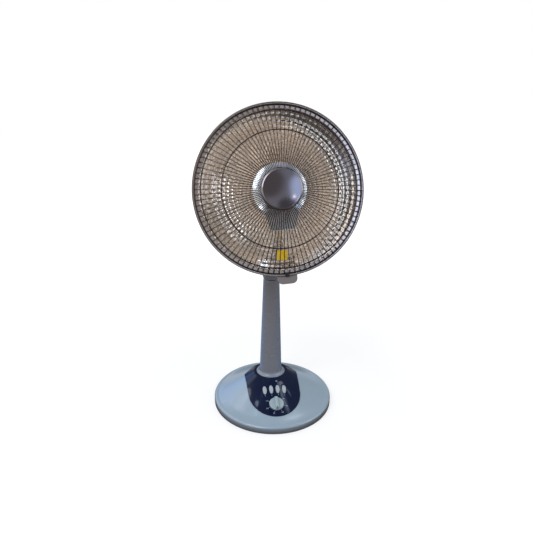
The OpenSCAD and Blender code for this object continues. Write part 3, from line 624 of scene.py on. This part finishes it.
@dataclass
class Neck:
    """The two moulded shells between the column and the tilt hinge."""

    edge: float = 28.0

    def build(self) -> None:
        """Builds the cup and the cover."""
        for node in ("neck_cup", "neck_cover"):
            piece = Shop.COLUMN_SHELL.on(welded_copy(node, self.edge))
            place_piece(piece, "neck", "column_plastic", node)


@dataclass
class Reflector:
    """The embossed dish: rows of pillows, each row half a pillow round from the one before.

    Samples is the number of mesh steps across a pillow, either way; pillow is its height.
    """

    rim_r: float = 199.0
    flange_r: float = 212.3
    hole_r: float = 6.5
    depth: float = 105.0
    sheet: float = 0.8
    first_row_r: float = 22.0
    row_pitch: float = 11.0
    rows: int = 16
    per_row: int = 72
    samples: int = 6
    pillow: float = 0.45
    hole_steps: int = 4
    back_steps: int = 14
    edge: float = 40.0

    def height(self, r: Array) -> Array:
        """The paraboloid: minus the depth times one minus the square of r over the rim's radius."""
        return -self.depth * (1 - (r / self.rim_r) ** 2)

    def emboss(self, r: Array, angle: Array) -> Array:
        """Height of the pillows: the product of two half sines, one across and one along the row.

        Args:
            r: Radii.
            angle: Angles in radians, of a shape that goes with r.

        Returns:
            The height above the paraboloid, in millimetres.
        """
        row = (r - self.first_row_r) / self.row_pitch
        inside = (row > 0) & (row < self.rows)
        number = np.floor(row)
        along = angle * self.per_row / (2 * np.pi) + 0.5 * (number % 2)
        across = np.abs(np.sin(np.pi * row))
        return inside * self.pillow * across * np.abs(np.sin(np.pi * along))

    def build(self) -> bpy.types.Object:
        """Builds the closed sheet: embossed face, flange, and a plain back.

        Returns:
            The reflector.
        """
        around = self.per_row * self.samples
        angle = np.linspace(0, 2 * np.pi, around, endpoint=False)[None, :]
        face_r = np.concatenate([
            np.linspace(self.hole_r, self.first_row_r, self.hole_steps, endpoint=False),
            self.first_row_r + np.arange(self.rows * self.samples + 1) * self.row_pitch / self.samples,
            [self.rim_r],
        ])[:, None]
        face_h = self.height(face_r) + self.emboss(face_r, angle)
        flange_r = np.array([self.flange_r, self.flange_r])[:, None]
        flange_h = np.array([0.0, -self.sheet])[:, None] + 0 * angle
        back_r = np.linspace(self.rim_r, self.hole_r, self.back_steps)[:, None]
        back_h = self.height(back_r) - self.sheet + 0 * angle
        r = np.concatenate([face_r, flange_r, back_r])
        h = np.concatenate([face_h, flange_h, back_h])
        points = np.stack([r * np.cos(angle), r * np.sin(angle), h], axis=-1)
        faces = grid_faces(len(r), around, wrap_rows=True)
        piece = new_piece("reflector_dish", DISH.to_object(points), faces, self.edge)
        Shop.DISH_SHEET.on(piece)
        piece.data.materials.append(Shop.FLANGE_SHEET.value.material())
        self.mark_flange(piece)
        return place_piece(piece, "head", "dish_metal", "reflector")

    def mark_flange(self, piece: bpy.types.Object) -> None:
        """Gives the second material to the faces whose middle lies outside the rim radius.

        Args:
            piece: The reflector, with both materials.
        """
        mesh = piece.data
        middle = np.zeros(len(mesh.polygons) * 3, np.float32)
        mesh.polygons.foreach_get("center", middle)
        local = (middle.reshape(-1, 3) / MM - np.array(DISH.origin)) @ DISH.axes().T
        outside = np.linalg.norm(local[:, :2], axis=1) > self.rim_r
        mesh.polygons.foreach_set("material_index", outside.astype(np.int32))


@dataclass
class GuardCap:
    """The spun cap at the middle of the guard: a shallow dome, a rounded lip and a straight skirt.

    The dome falls by drop, with the given power of the way out. Spread packs its rings outwards.
    """

    radius: float = 52.0
    low: float = 48.3
    rise: float = 10.0
    drop: float = 2.2
    power: float = 2.2
    lip: float = 7.0
    wall: float = 1.5
    pole_r: float = 0.01
    dome_steps: int = 30
    spread: float = 0.8
    lip_steps: int = 16
    around: int = 160

    def build(self) -> bpy.types.Object:
        """Builds the cap as a smooth dome with a rolled edge.

        Returns:
            The cap.
        """
        lip_r = self.radius - self.lip
        out = np.linspace(0.0, 1.0, self.dome_steps) ** self.spread
        dome = np.stack([lip_r * out, self.low + self.rise - self.drop * out**self.power], axis=-1)
        dome[0, 0] = self.pole_r
        lean = math.atan(self.drop * self.power / lip_r)
        bend = np.linspace(math.pi / 2 - lean, 0, self.lip_steps)
        middle = dome[-1] - self.lip * np.array([math.sin(lean), math.cos(lean)])
        edge = middle + self.lip * np.stack([np.cos(bend), np.sin(bend)], axis=-1)
        edge[:, 0] *= self.radius / edge[-1, 0]
        inner = dome[::-1] - np.array([self.wall, self.wall])
        inner[:, 0] = np.maximum(inner[:, 0], self.pole_r)
        foot = [[self.radius, self.low], [self.radius - self.wall, self.low]]
        piece = revolve("guard_cap", np.concatenate([dome, edge, foot, inner]), DISH, self.around)
        return place_piece(Shop.CAP_METAL.on(piece), "head", "cap_metal", "centre_cap")


@dataclass
class Shield:
    """The bulb-shaped mirror behind the cap: a disc with a tapered tail, crowned towards its edge.

    Neck and corner are points of the tail's right edge, as (across, down). Face, low and under are
    heights of the front, the edge's lower side and the underside.
    """

    radius: float = 67.0
    neck: tuple[float, float] = (43.4, 50.6)
    corner: tuple[float, float] = (25.5, 92.0)
    corner_r: float = 6.0
    side_angle: float = 15.8
    face: float = 20.0
    low: float = 8.0
    under: float = 11.0
    crown: float = 8.0
    power: float = 3.0
    tail_half: tuple[float, float] = (35.0, 70.0)
    bend_from: float = 46.0
    bend: float = 0.2
    sheet: float = 1.0
    pole: float = 0.0005
    corner_steps: int = 9
    around: int = 361
    rings: int = 26
    spread: float = 0.8
    edge: float = 35.0
    under_facing: float = -0.1

    def outline(self) -> tuple[Array, Array]:
        """The outline in polar form, about the disc's middle.

        Returns:
            Angles from straight down, in radians, and the radii there.
        """
        arc = np.radians(np.linspace(self.side_angle, 90, self.corner_steps))
        across, down = self.corner
        right = np.concatenate([
            [self.neck],
            np.stack([across + self.corner_r * np.cos(arc), down + self.corner_r * np.sin(arc)], 1),
            [[0.0, down + self.corner_r]],
        ])
        side = np.concatenate([right[:-1], right[::-1] * np.array([-1, 1])])
        off = np.arctan2(side[:, 0], side[:, 1])
        fine = np.union1d(np.linspace(-math.pi, math.pi, self.around)[:-1], off)
        inside = np.abs(fine) <= off.max()
        # Between two outline points the edge is straight: each ray is cut with that chord
        order = np.argsort(off)
        off, side = off[order], side[order]
        k = np.clip(np.searchsorted(off, fine) - 1, 0, len(off) - 2)
        p, q = side[k], side[k + 1]
        way = np.stack([np.sin(fine), np.cos(fine)], axis=1)
        cross = p[:, 0] * (q[:, 1] - p[:, 1]) - p[:, 1] * (q[:, 0] - p[:, 0])
        along = way[:, 0] * (q[:, 1] - p[:, 1]) - way[:, 1] * (q[:, 0] - p[:, 0])
        chord = np.divide(cross, along, out=np.full(len(fine), self.radius), where=inside)
        return fine, np.where(inside, np.maximum(chord, 0), self.radius)

    def build(self) -> bpy.types.Object:
        """Builds the mirror.

        The disc's height falls with the third power of the way out to its edge. The tail isn't
        crowned: it bends back evenly below a straight line. The underside is flat, and has the
        dish's finish, which the dish mirrors.

        Returns:
            The shield.
        """
        off, reach = self.outline()
        out = np.concatenate([[self.pole], np.linspace(0, 1, self.rings)[1:] ** self.spread])[:, None]
        down = np.maximum(0.0, out * reach * np.cos(off) - self.bend_from)
        # The crown fades out smoothly towards the tail, between the two angles
        near, far = np.radians(self.tail_half)
        past = np.clip((np.abs(off) - near) / (far - near), 0, 1)
        crowned = past**2 * (3 - 2 * past)
        top = self.face - crowned * self.crown * out**self.power - self.bend * down
        below = np.minimum(self.under, top - self.sheet)
        inner = (reach - self.sheet) / reach
        rim = np.ones((1, 1)) + 0 * reach
        share = np.concatenate([out + 0 * reach, rim, inner[None, :], out[::-1] * inner])
        skirt = np.full((1, len(off)), self.low)
        height = np.concatenate([top, skirt, skirt, below[::-1]])
        r = share * reach
        points = np.stack([r * np.sin(off), -r * np.cos(off), height], axis=-1)
        faces = grid_faces(len(share), len(off), wrap_rows=True)
        piece = new_piece("shield_mirror", DISH.to_object(points), faces, self.edge)
        Shop.SHIELD_METAL.on(piece)
        piece.data.materials.append(Shop.DISH_SHEET.value.material())
        facing = np.zeros(len(piece.data.polygons) * 3, np.float32)
        piece.data.polygons.foreach_get("normal", facing)
        inward = facing.reshape(-1, 3) @ DISH.axes()[2] < self.under_facing
        piece.data.polygons.foreach_set("material_index", inward.astype(np.int32))
        return place_piece(piece, "head", "shield_metal", "element_shield")


@dataclass
class Sticker:
    """A plain yellow sticker on the reflector, with nothing printed on it."""

    corners: tuple[tuple[float, float], ...] = (
        (-13.5, -149.9), (13.4, -152.8), (6.9, -176.7), (-19.7, -173.7)
    )
    lift: float = 0.55
    thickness: float = 0.12
    steps: int = 12

    def build(self, dish: Reflector) -> bpy.types.Object:
        """Lays the sticker on the dish: a bilinear patch of its corners, at the dish's height.

        Args:
            dish: The reflector it lies on.

        Returns:
            The sticker.
        """
        even = np.linspace(0, 1, self.steps)
        u, v = (share[..., None] for share in np.meshgrid(even, even))
        a, b, c, d = (np.array(p) for p in self.corners)
        flat = (1 - u) * (1 - v) * a + u * (1 - v) * b + u * v * c + (1 - u) * v * d
        low = dish.height(np.linalg.norm(flat, axis=-1)) + self.lift
        faces = grid_faces(self.steps, self.steps, wrap_columns=False)
        points = np.concatenate([flat, low[..., None]], axis=-1)
        piece = new_piece("plain_sticker", DISH.to_object(points), faces)
        solid = piece.modifiers.new("sheet", "SOLIDIFY")
        solid.thickness = self.thickness * MM
        solid.offset = 0
        return place_piece(Shop.STICKER.on(piece), "head", "dish_metal")


@dataclass
class PanelMarks:
    """Plain numbers and dots of light ink on the panel: a dial round the knob, a dot under each key.

    The panel's face is an oblique cone: circles whose middle, radius and height all run evenly from
    the shoulder to the top flat, each given as (back, radius, height). The dial's marks are 50
    degrees apart, so that the last lies at the knob's limit of 300.
    """

    shoulder: tuple[float, float, float] = (6.0, 143.0, 29.5)
    top: tuple[float, float, float] = (40.0, 52.0, 69.5)
    panel: float = 2.5
    painted_shade_share: float = 0.08
    dial_y: float = -97.0
    number_r: float = 29.5
    tick_r: float = 23.8
    tick: tuple[float, float] = (0.5, 1.3)
    number_size: float = 5.5
    step: float = 50.0
    minutes: int = 20
    count: int = 6
    key_pitch: float = 19.1
    key_dot_y: float = -64.5
    keys: int = 4
    dot_r: float = 1.1
    dot_points: int = 24

    def height(self, x: Array, y: Array) -> Array:
        """Height of the face over a point of the floor: the root of the cone's quadratic.

        Args:
            x: Across, in millimetres.
            y: Towards the back, in millimetres.

        Returns:
            The height, in millimetres.
        """
        back, r, low = self.shoulder
        shift, shrink, rise = self.top[0] - back, r - self.top[1], self.top[2] - low
        a = shift**2 - shrink**2
        b = 2 * ((back - y) * shift + r * shrink)
        c = (back - y) ** 2 + x**2 - r**2
        return low + rise * (-b + np.sqrt(b * b - 4 * a * c)) / (2 * a) + self.panel

    def lay(self, name: str, flat: Array, faces: list | Array) -> bpy.types.Object:
        """Lays a flat shape on the face as a thin film.

        Args:
            name: The piece's name.
            flat: Points (x, y) over the floor, in millimetres.
            faces: Point numbers of each face.

        Returns:
            The film.
        """
        high = self.height(flat[:, 0], flat[:, 1]) + self.painted_shade_share
        piece = new_piece(name, np.column_stack([flat, high]), faces)
        solid = piece.modifiers.new("painted_shade_share", "SOLIDIFY")
        solid.thickness = self.painted_shade_share * MM
        solid.offset = 0
        return place_piece(Shop.INK.on(piece), "stand", "panel_gloss")

    def number(self, text: str) -> tuple[Array, list]:
        """The flat shape of a number about its own middle.

        Args:
            text: The digits.

        Returns:
            Points (x, y) in millimetres and the faces.
        """
        curve = bpy.data.curves.new("dial_number", "FONT")
        curve.body = text
        curve.size = self.number_size
        curve.align_x, curve.align_y = "CENTER", "CENTER"
        holder = bpy.data.objects.new("dial_number", curve)
        mesh = holder.to_mesh()
        points = np.array([p.co[:2] for p in mesh.vertices])
        faces = [list(face.vertices) for face in mesh.polygons]
        holder.to_mesh_clear()
        bpy.data.objects.remove(holder)
        bpy.data.curves.remove(curve)
        return points - (points.min(0) + points.max(0)) / 2, faces

    def build(self) -> None:
        """Builds the dial's numbers and ticks and the dots under the keys."""
        middle = np.array([0.0, self.dial_y])
        for k in range(self.count + 1):
            angle = math.radians(90 - self.step * k)
            way = np.array([math.cos(angle), math.sin(angle)])
            across = np.array([-math.sin(angle), math.cos(angle)])
            corners = np.array([[-1, -1], [1, -1], [1, 1], [-1, 1]]) * np.array(self.tick)
            bar = middle + (self.tick_r + corners[:, 1:]) * way + corners[:, :1] * across
            self.lay("dial_tick_%d" % k, bar, [[0, 1, 2, 3]])
            if k:
                shape, faces = self.number(str(self.minutes * k))
                self.lay("dial_number_%d" % k, middle + self.number_r * way + shape, faces)
        turn = np.linspace(0, 2 * np.pi, self.dot_points, endpoint=False)
        round_dot = self.dot_r * np.stack([np.cos(turn), np.sin(turn)], axis=-1)
        for k in range(self.keys):
            place = np.array([(k - (self.keys - 1) / 2) * self.key_pitch, self.key_dot_y])
            self.lay("key_dot_%d" % k, place + round_dot, [list(range(self.dot_points))])


# ---------- studio ----------


@dataclass(frozen=True)
class Patch:
    """A round, soft-edged patch of the mirrored world: full up to core, gone at reach (degrees)."""

    way: tuple[float, float, float]
    reach: float
    core: float
    level: float
    tint: str

    def over(
        self, tree: bpy.types.NodeTree, way: bpy.types.NodeSocket, below: bpy.types.NodeSocket
    ) -> bpy.types.NodeSocket:
        """Lays the patch over a colour.

        Args:
            tree: The world's node tree.
            way: Direction of the ray.
            below: Colour without the patch.

        Returns:
            The colour with the patch.
        """
        length = math.sqrt(sum(part * part for part in self.way))
        middle = tuple(part / length for part in self.way)
        near = add_node(
            tree, "ShaderNodeVectorMath", {0: way, 1: middle}, operation="DOT_PRODUCT"
        ).outputs["Value"]
        factor = add_node(
            tree,
            "ShaderNodeMapRange",
            {"Value": near, "From Min": math.cos(math.radians(self.reach)),
             "From Max": math.cos(math.radians(self.core))},
            interpolation_type="SMOOTHSTEP",
        ).outputs["Result"]
        colour = tuple(self.level * part for part in linear(self.tint)[:3]) + (1.0,)
        return add_node(
            tree, "ShaderNodeMix", {0: factor, 6: below, 7: colour}, data_type="RGBA"
        ).outputs[2]


def stand(thing: bpy.types.Object, place: tuple[float, ...], right: Array, up: Array, ahead: Array) -> None:
    """Puts a camera or lamp in its place and turns it, and links it to the scene.

    Args:
        thing: The camera or lamp, which looks along its own minus z.
        place: Where it stands, in metres.
        right: Its own x axis.
        up: Its own y axis.
        ahead: The way it looks.
    """
    turn = Matrix(np.stack([right, up, -ahead], axis=1).tolist()).to_4x4()
    turn.translation = place
    thing.matrix_world = turn
    bpy.context.scene.collection.objects.link(thing)


@dataclass(frozen=True)
class SoftBox:
    """A square lamp: its place, the point it looks at and its side in metres, and its watts."""

    name: str
    place: tuple[float, float, float]
    aim: tuple[float, float, float]
    side: float
    watts: float
    colour: str

    def hang(self) -> None:
        """Adds the lamp to the scene."""
        data = bpy.data.lights.new(self.name, "AREA")
        data.size = self.side
        data.energy = self.watts
        data.color = linear(self.colour)[:3]
        ahead = np.array(self.aim, float) - np.array(self.place, float)
        ahead /= np.linalg.norm(ahead)
        right = np.cross(ahead, [0, 0, 1.0])
        right /= np.linalg.norm(right)
        lamp = bpy.data.objects.new(self.name, data)
        stand(lamp, self.place, right, np.cross(right, ahead), ahead)


@dataclass
class Studio:
    """Floor, world, lamps and the camera at the photograph's viewpoint.

    Eye is in millimetres; the floor's side and the distances of its fades are in metres. The
    mirrored room is what gloss and metal see: a wash of colour from left to right, and patches
    over it, a later one over an earlier one.
    """

    eye: tuple[float, float, float] = (-185.4, -1399.8, 987.7)
    yaw: float = 6.75
    pitch: float = 21.46
    roll: float = 0.31
    focal_pixels: float = 546.0
    frame_pixels: float = 533.0
    sensor: float = 36.0
    clip_end: float = 50.0
    floor_side: float = 6.0
    floor_paint: str = "#989898"
    floor_bounce: str = "#5c4c40"
    floor_lift: float = 0.72
    floor_fade: tuple[float, float] = (0.4, 1.6)
    floor_gloss: tuple[float, float] = (0.02, 0.35)
    gloss_fade: tuple[float, float] = (0.2, 1.4)
    sky: str = "#eef1f5"
    sky_light: tuple[float, float] = (0.25, 0.85)
    sky_span: tuple[float, float] = (-0.1, 0.9)
    warm: str = "#fff9f5"
    cool: str = "#dbe8ff"
    wash_span: tuple[float, float] = (-0.5, 0.5)
    patches: tuple[Patch, ...] = (
        # A dim ceiling, high behind
        Patch((0.35, 0.55, 0.75), 45, 28, 0.35, "#f3f1f0"),
        # A bright wall on the left and another on the right
        Patch((-0.95, -0.10, 0.30), 75, 35, 1.9, "#fff6ee"),
        Patch((0.896, -0.24, 0.375), 36, 20, 2.4, "#f8f8ff"),
        # The dim end of the room in front: high, low and in the middle
        Patch((-0.03, -0.90, 0.43), 14, 8, 0.45, "#f0eaea"),
        Patch((0.068, -0.975, -0.21), 18, 10, 0.25, "#f3e0dc"),
        Patch((0.189, -0.972, 0.139), 8, 4, 0.35, "#eceaf0"),
        # A window at the front right
        Patch((0.40, -0.857, 0.326), 13, 6, 3.8, "#c8dcff"),
        # Two small lamps beside it, which give gloss its bright points
        Patch((0.287, -0.927, 0.242), 1.2, 0.5, 14.0, "#f4f7ff"),
        Patch((0.405, -0.910, -0.087), 2.2, 1.0, 8.0, "#f4f7ff"),
        # A blue window behind on the left
        Patch((-0.38, 0.82, 0.43), 15, 7, 1.3, "#6fa4fb"),
        # Two wide and two small ceiling lamps, high behind
        Patch((-0.32, 0.504, 0.802), 5.5, 3.0, 7.0, "#eef4ff"),
        Patch((0.233, 0.491, 0.839), 5.0, 3.0, 7.0, "#eef4ff"),
        Patch((0.234, 0.349, 0.908), 2.2, 1.0, 9.0, "#cfe4ff"),
        Patch((-0.131, 0.407, 0.904), 2.2, 1.0, 12.0, "#cfe4ff"),
    )
    lamps: tuple[SoftBox, ...] = (
        SoftBox("key_soft_box", (-1.6, -1.8, 2.4), (0, 0, 0.45), 1.6, 50, "#e8f0ff"),
        SoftBox("fill_soft_box", (2.2, -1.2, 1.5), (0, 0, 0.45), 1.4, 10, "#ffffff"),
        SoftBox("back_soft_box", (-1.1, 2.2, 1.7), (0, 0, 0.4), 1.2, 8, "#b9d2ff"),
    )

    def camera(self) -> None:
        """Stands the camera where the photograph was taken from."""
        yaw, pitch, roll = (math.radians(a) for a in (self.yaw, self.pitch, self.roll))
        level = math.cos(pitch)
        ahead = np.array([math.sin(yaw) * level, math.cos(yaw) * level, -math.sin(pitch)])
        right = np.array([math.cos(yaw), -math.sin(yaw), 0.0])
        up = np.cross(right, ahead)
        right, up = (
            right * math.cos(roll) + up * math.sin(roll),
            up * math.cos(roll) - right * math.sin(roll),
        )
        lens = bpy.data.cameras.new("photo_camera")
        lens.sensor_width = self.sensor
        lens.lens = self.sensor * self.focal_pixels / self.frame_pixels
        lens.clip_end = self.clip_end
        eye = bpy.data.objects.new("photo_camera", lens)
        stand(eye, tuple(c * MM for c in self.eye), right, up, ahead)
        bpy.context.scene.camera = eye

    def world(self) -> None:
        """A pale world: plain white to the camera and through glass, soft light on all the rest.

        The soft light rises evenly with height. Gloss and metal see the mirrored room instead.
        """
        world = bpy.data.worlds.new("studio_world")
        world.use_nodes = True
        tree = world.node_tree
        tree.nodes.clear()
        path = add_node(tree, "ShaderNodeLightPath")
        way = add_node(tree, "ShaderNodeTexCoord").outputs["Generated"]
        parts = add_node(tree, "ShaderNodeSeparateXYZ", {0: way})
        (low, high), (dim, bright) = self.sky_span, self.sky_light
        overhead = add_node(
            tree,
            "ShaderNodeMapRange",
            {"Value": parts.outputs["Z"], "From Min": low, "From Max": high, "To Min": dim,
             "To Max": bright},
        ).outputs["Result"]
        soft = add_node(tree, "ShaderNodeBackground", {"Color": linear(self.sky), "Strength": overhead})
        white = add_node(tree, "ShaderNodeBackground", {"Color": (1, 1, 1, 1), "Strength": 1.0})
        clear = add_node(
            tree,
            "ShaderNodeMath",
            {0: path.outputs["Is Camera Ray"], 1: path.outputs["Is Transmission Ray"]},
            operation="MAXIMUM",
        )
        left, right = self.wash_span
        across = add_node(
            tree, "ShaderNodeMapRange", {"Value": parts.outputs["X"], "From Min": left, "From Max": right}
        ).outputs["Result"]
        tint = add_node(
            tree, "ShaderNodeMix", {0: across, 6: linear(self.warm), 7: linear(self.cool)}, data_type="RGBA"
        ).outputs[2]
        for patch in self.patches:
            tint = patch.over(tree, way, tint)
        mirrored = add_node(tree, "ShaderNodeBackground", {"Color": tint, "Strength": 1.0})
        metal = add_node(
            tree,
            "ShaderNodeMixShader",
            {0: path.outputs["Is Glossy Ray"], 1: soft.outputs[0], 2: mirrored.outputs[0]},
        )
        both = {0: clear.outputs[0], 1: metal.outputs[0], 2: white.outputs[0]}
        mix = add_node(tree, "ShaderNodeMixShader", both)
        add_node(tree, "ShaderNodeOutputWorld", {"Surface": mix.outputs[0]})
        bpy.context.scene.world = world

    def floor(self) -> None:
        """A plain pale floor.

        The camera sees its paint lifted towards white, and fully white far off. Gloss sees a share
        of that lift, and the light that it throws back is brown, as from a wooden floor.
        """
        corners = np.array([[-1, -1, 0], [1, -1, 0], [1, 1, 0], [-1, 1, 0]])
        piece = new_piece("studio_floor", self.floor_side * corners / MM, [[0, 1, 2, 3]])
        made = bpy.data.materials.new("studio_floor_paint")
        made.use_nodes = True
        tree = made.node_tree
        tree.nodes.clear()
        path = add_node(tree, "ShaderNodeLightPath")
        seen = path.outputs["Is Camera Ray"]
        shade = add_node(
            tree,
            "ShaderNodeMix",
            {0: seen, 6: linear(self.floor_bounce), 7: linear(self.floor_paint)},
            data_type="RGBA",
        ).outputs[2]
        paint = add_node(tree, "ShaderNodeBsdfDiffuse", {"Color": shade})
        place = add_node(tree, "ShaderNodeTexCoord").outputs["Object"]
        away = add_node(tree, "ShaderNodeVectorMath", {0: place}, operation="LENGTH").outputs["Value"]
        near, far = self.floor_fade
        glow = add_node(
            tree,
            "ShaderNodeMapRange",
            {"Value": away, "From Min": near, "From Max": far, "To Min": self.floor_lift, "To Max": 1.0},
        ).outputs["Result"]
        lift = add_node(tree, "ShaderNodeEmission", {"Color": (1, 1, 1, 1), "Strength": glow})
        (near, far), (dim, bright) = self.gloss_fade, self.floor_gloss
        gloss = add_node(
            tree,
            "ShaderNodeMapRange",
            {"Value": away, "From Min": near, "From Max": far, "To Min": dim, "To Max": bright},
        ).outputs["Result"]
        dimmed = add_node(
            tree, "ShaderNodeMath", {0: path.outputs["Is Glossy Ray"], 1: gloss}, operation="MULTIPLY"
        )
        share = add_node(tree, "ShaderNodeMath", {0: seen, 1: dimmed.outputs[0]}, operation="MAXIMUM")
        none = add_node(tree, "ShaderNodeEmission", {"Strength": 0.0})
        parts = {0: share.outputs[0], 1: none.outputs[0], 2: lift.outputs[0]}
        extra = add_node(tree, "ShaderNodeMixShader", parts)
        both = add_node(tree, "ShaderNodeAddShader", {0: paint.outputs[0], 1: extra.outputs[0]})
        add_node(tree, "ShaderNodeOutputMaterial", {"Surface": both.outputs[0]})
        piece.data.materials.append(made)

    def build(self) -> None:
        """Sets up the whole studio."""
        self.camera()
        self.world()
        for lamp in self.lamps:
            lamp.hang()
        self.floor()
        bpy.context.scene.view_settings.view_transform = "Standard"


def main() -> None:
    """Builds the studio and dresses the heater in order."""
    logging.basicConfig(level=logging.INFO, format="%(message)s")
    Studio().build()
    CadFinishes().dress()
    Base().build()
    Neck().build()
    dish = Reflector()
    dish.build()
    GuardCap().build()
    Shield().build()
    Sticker().build(dish)
    PanelMarks().build()


if __name__ == "__main__":
    main()
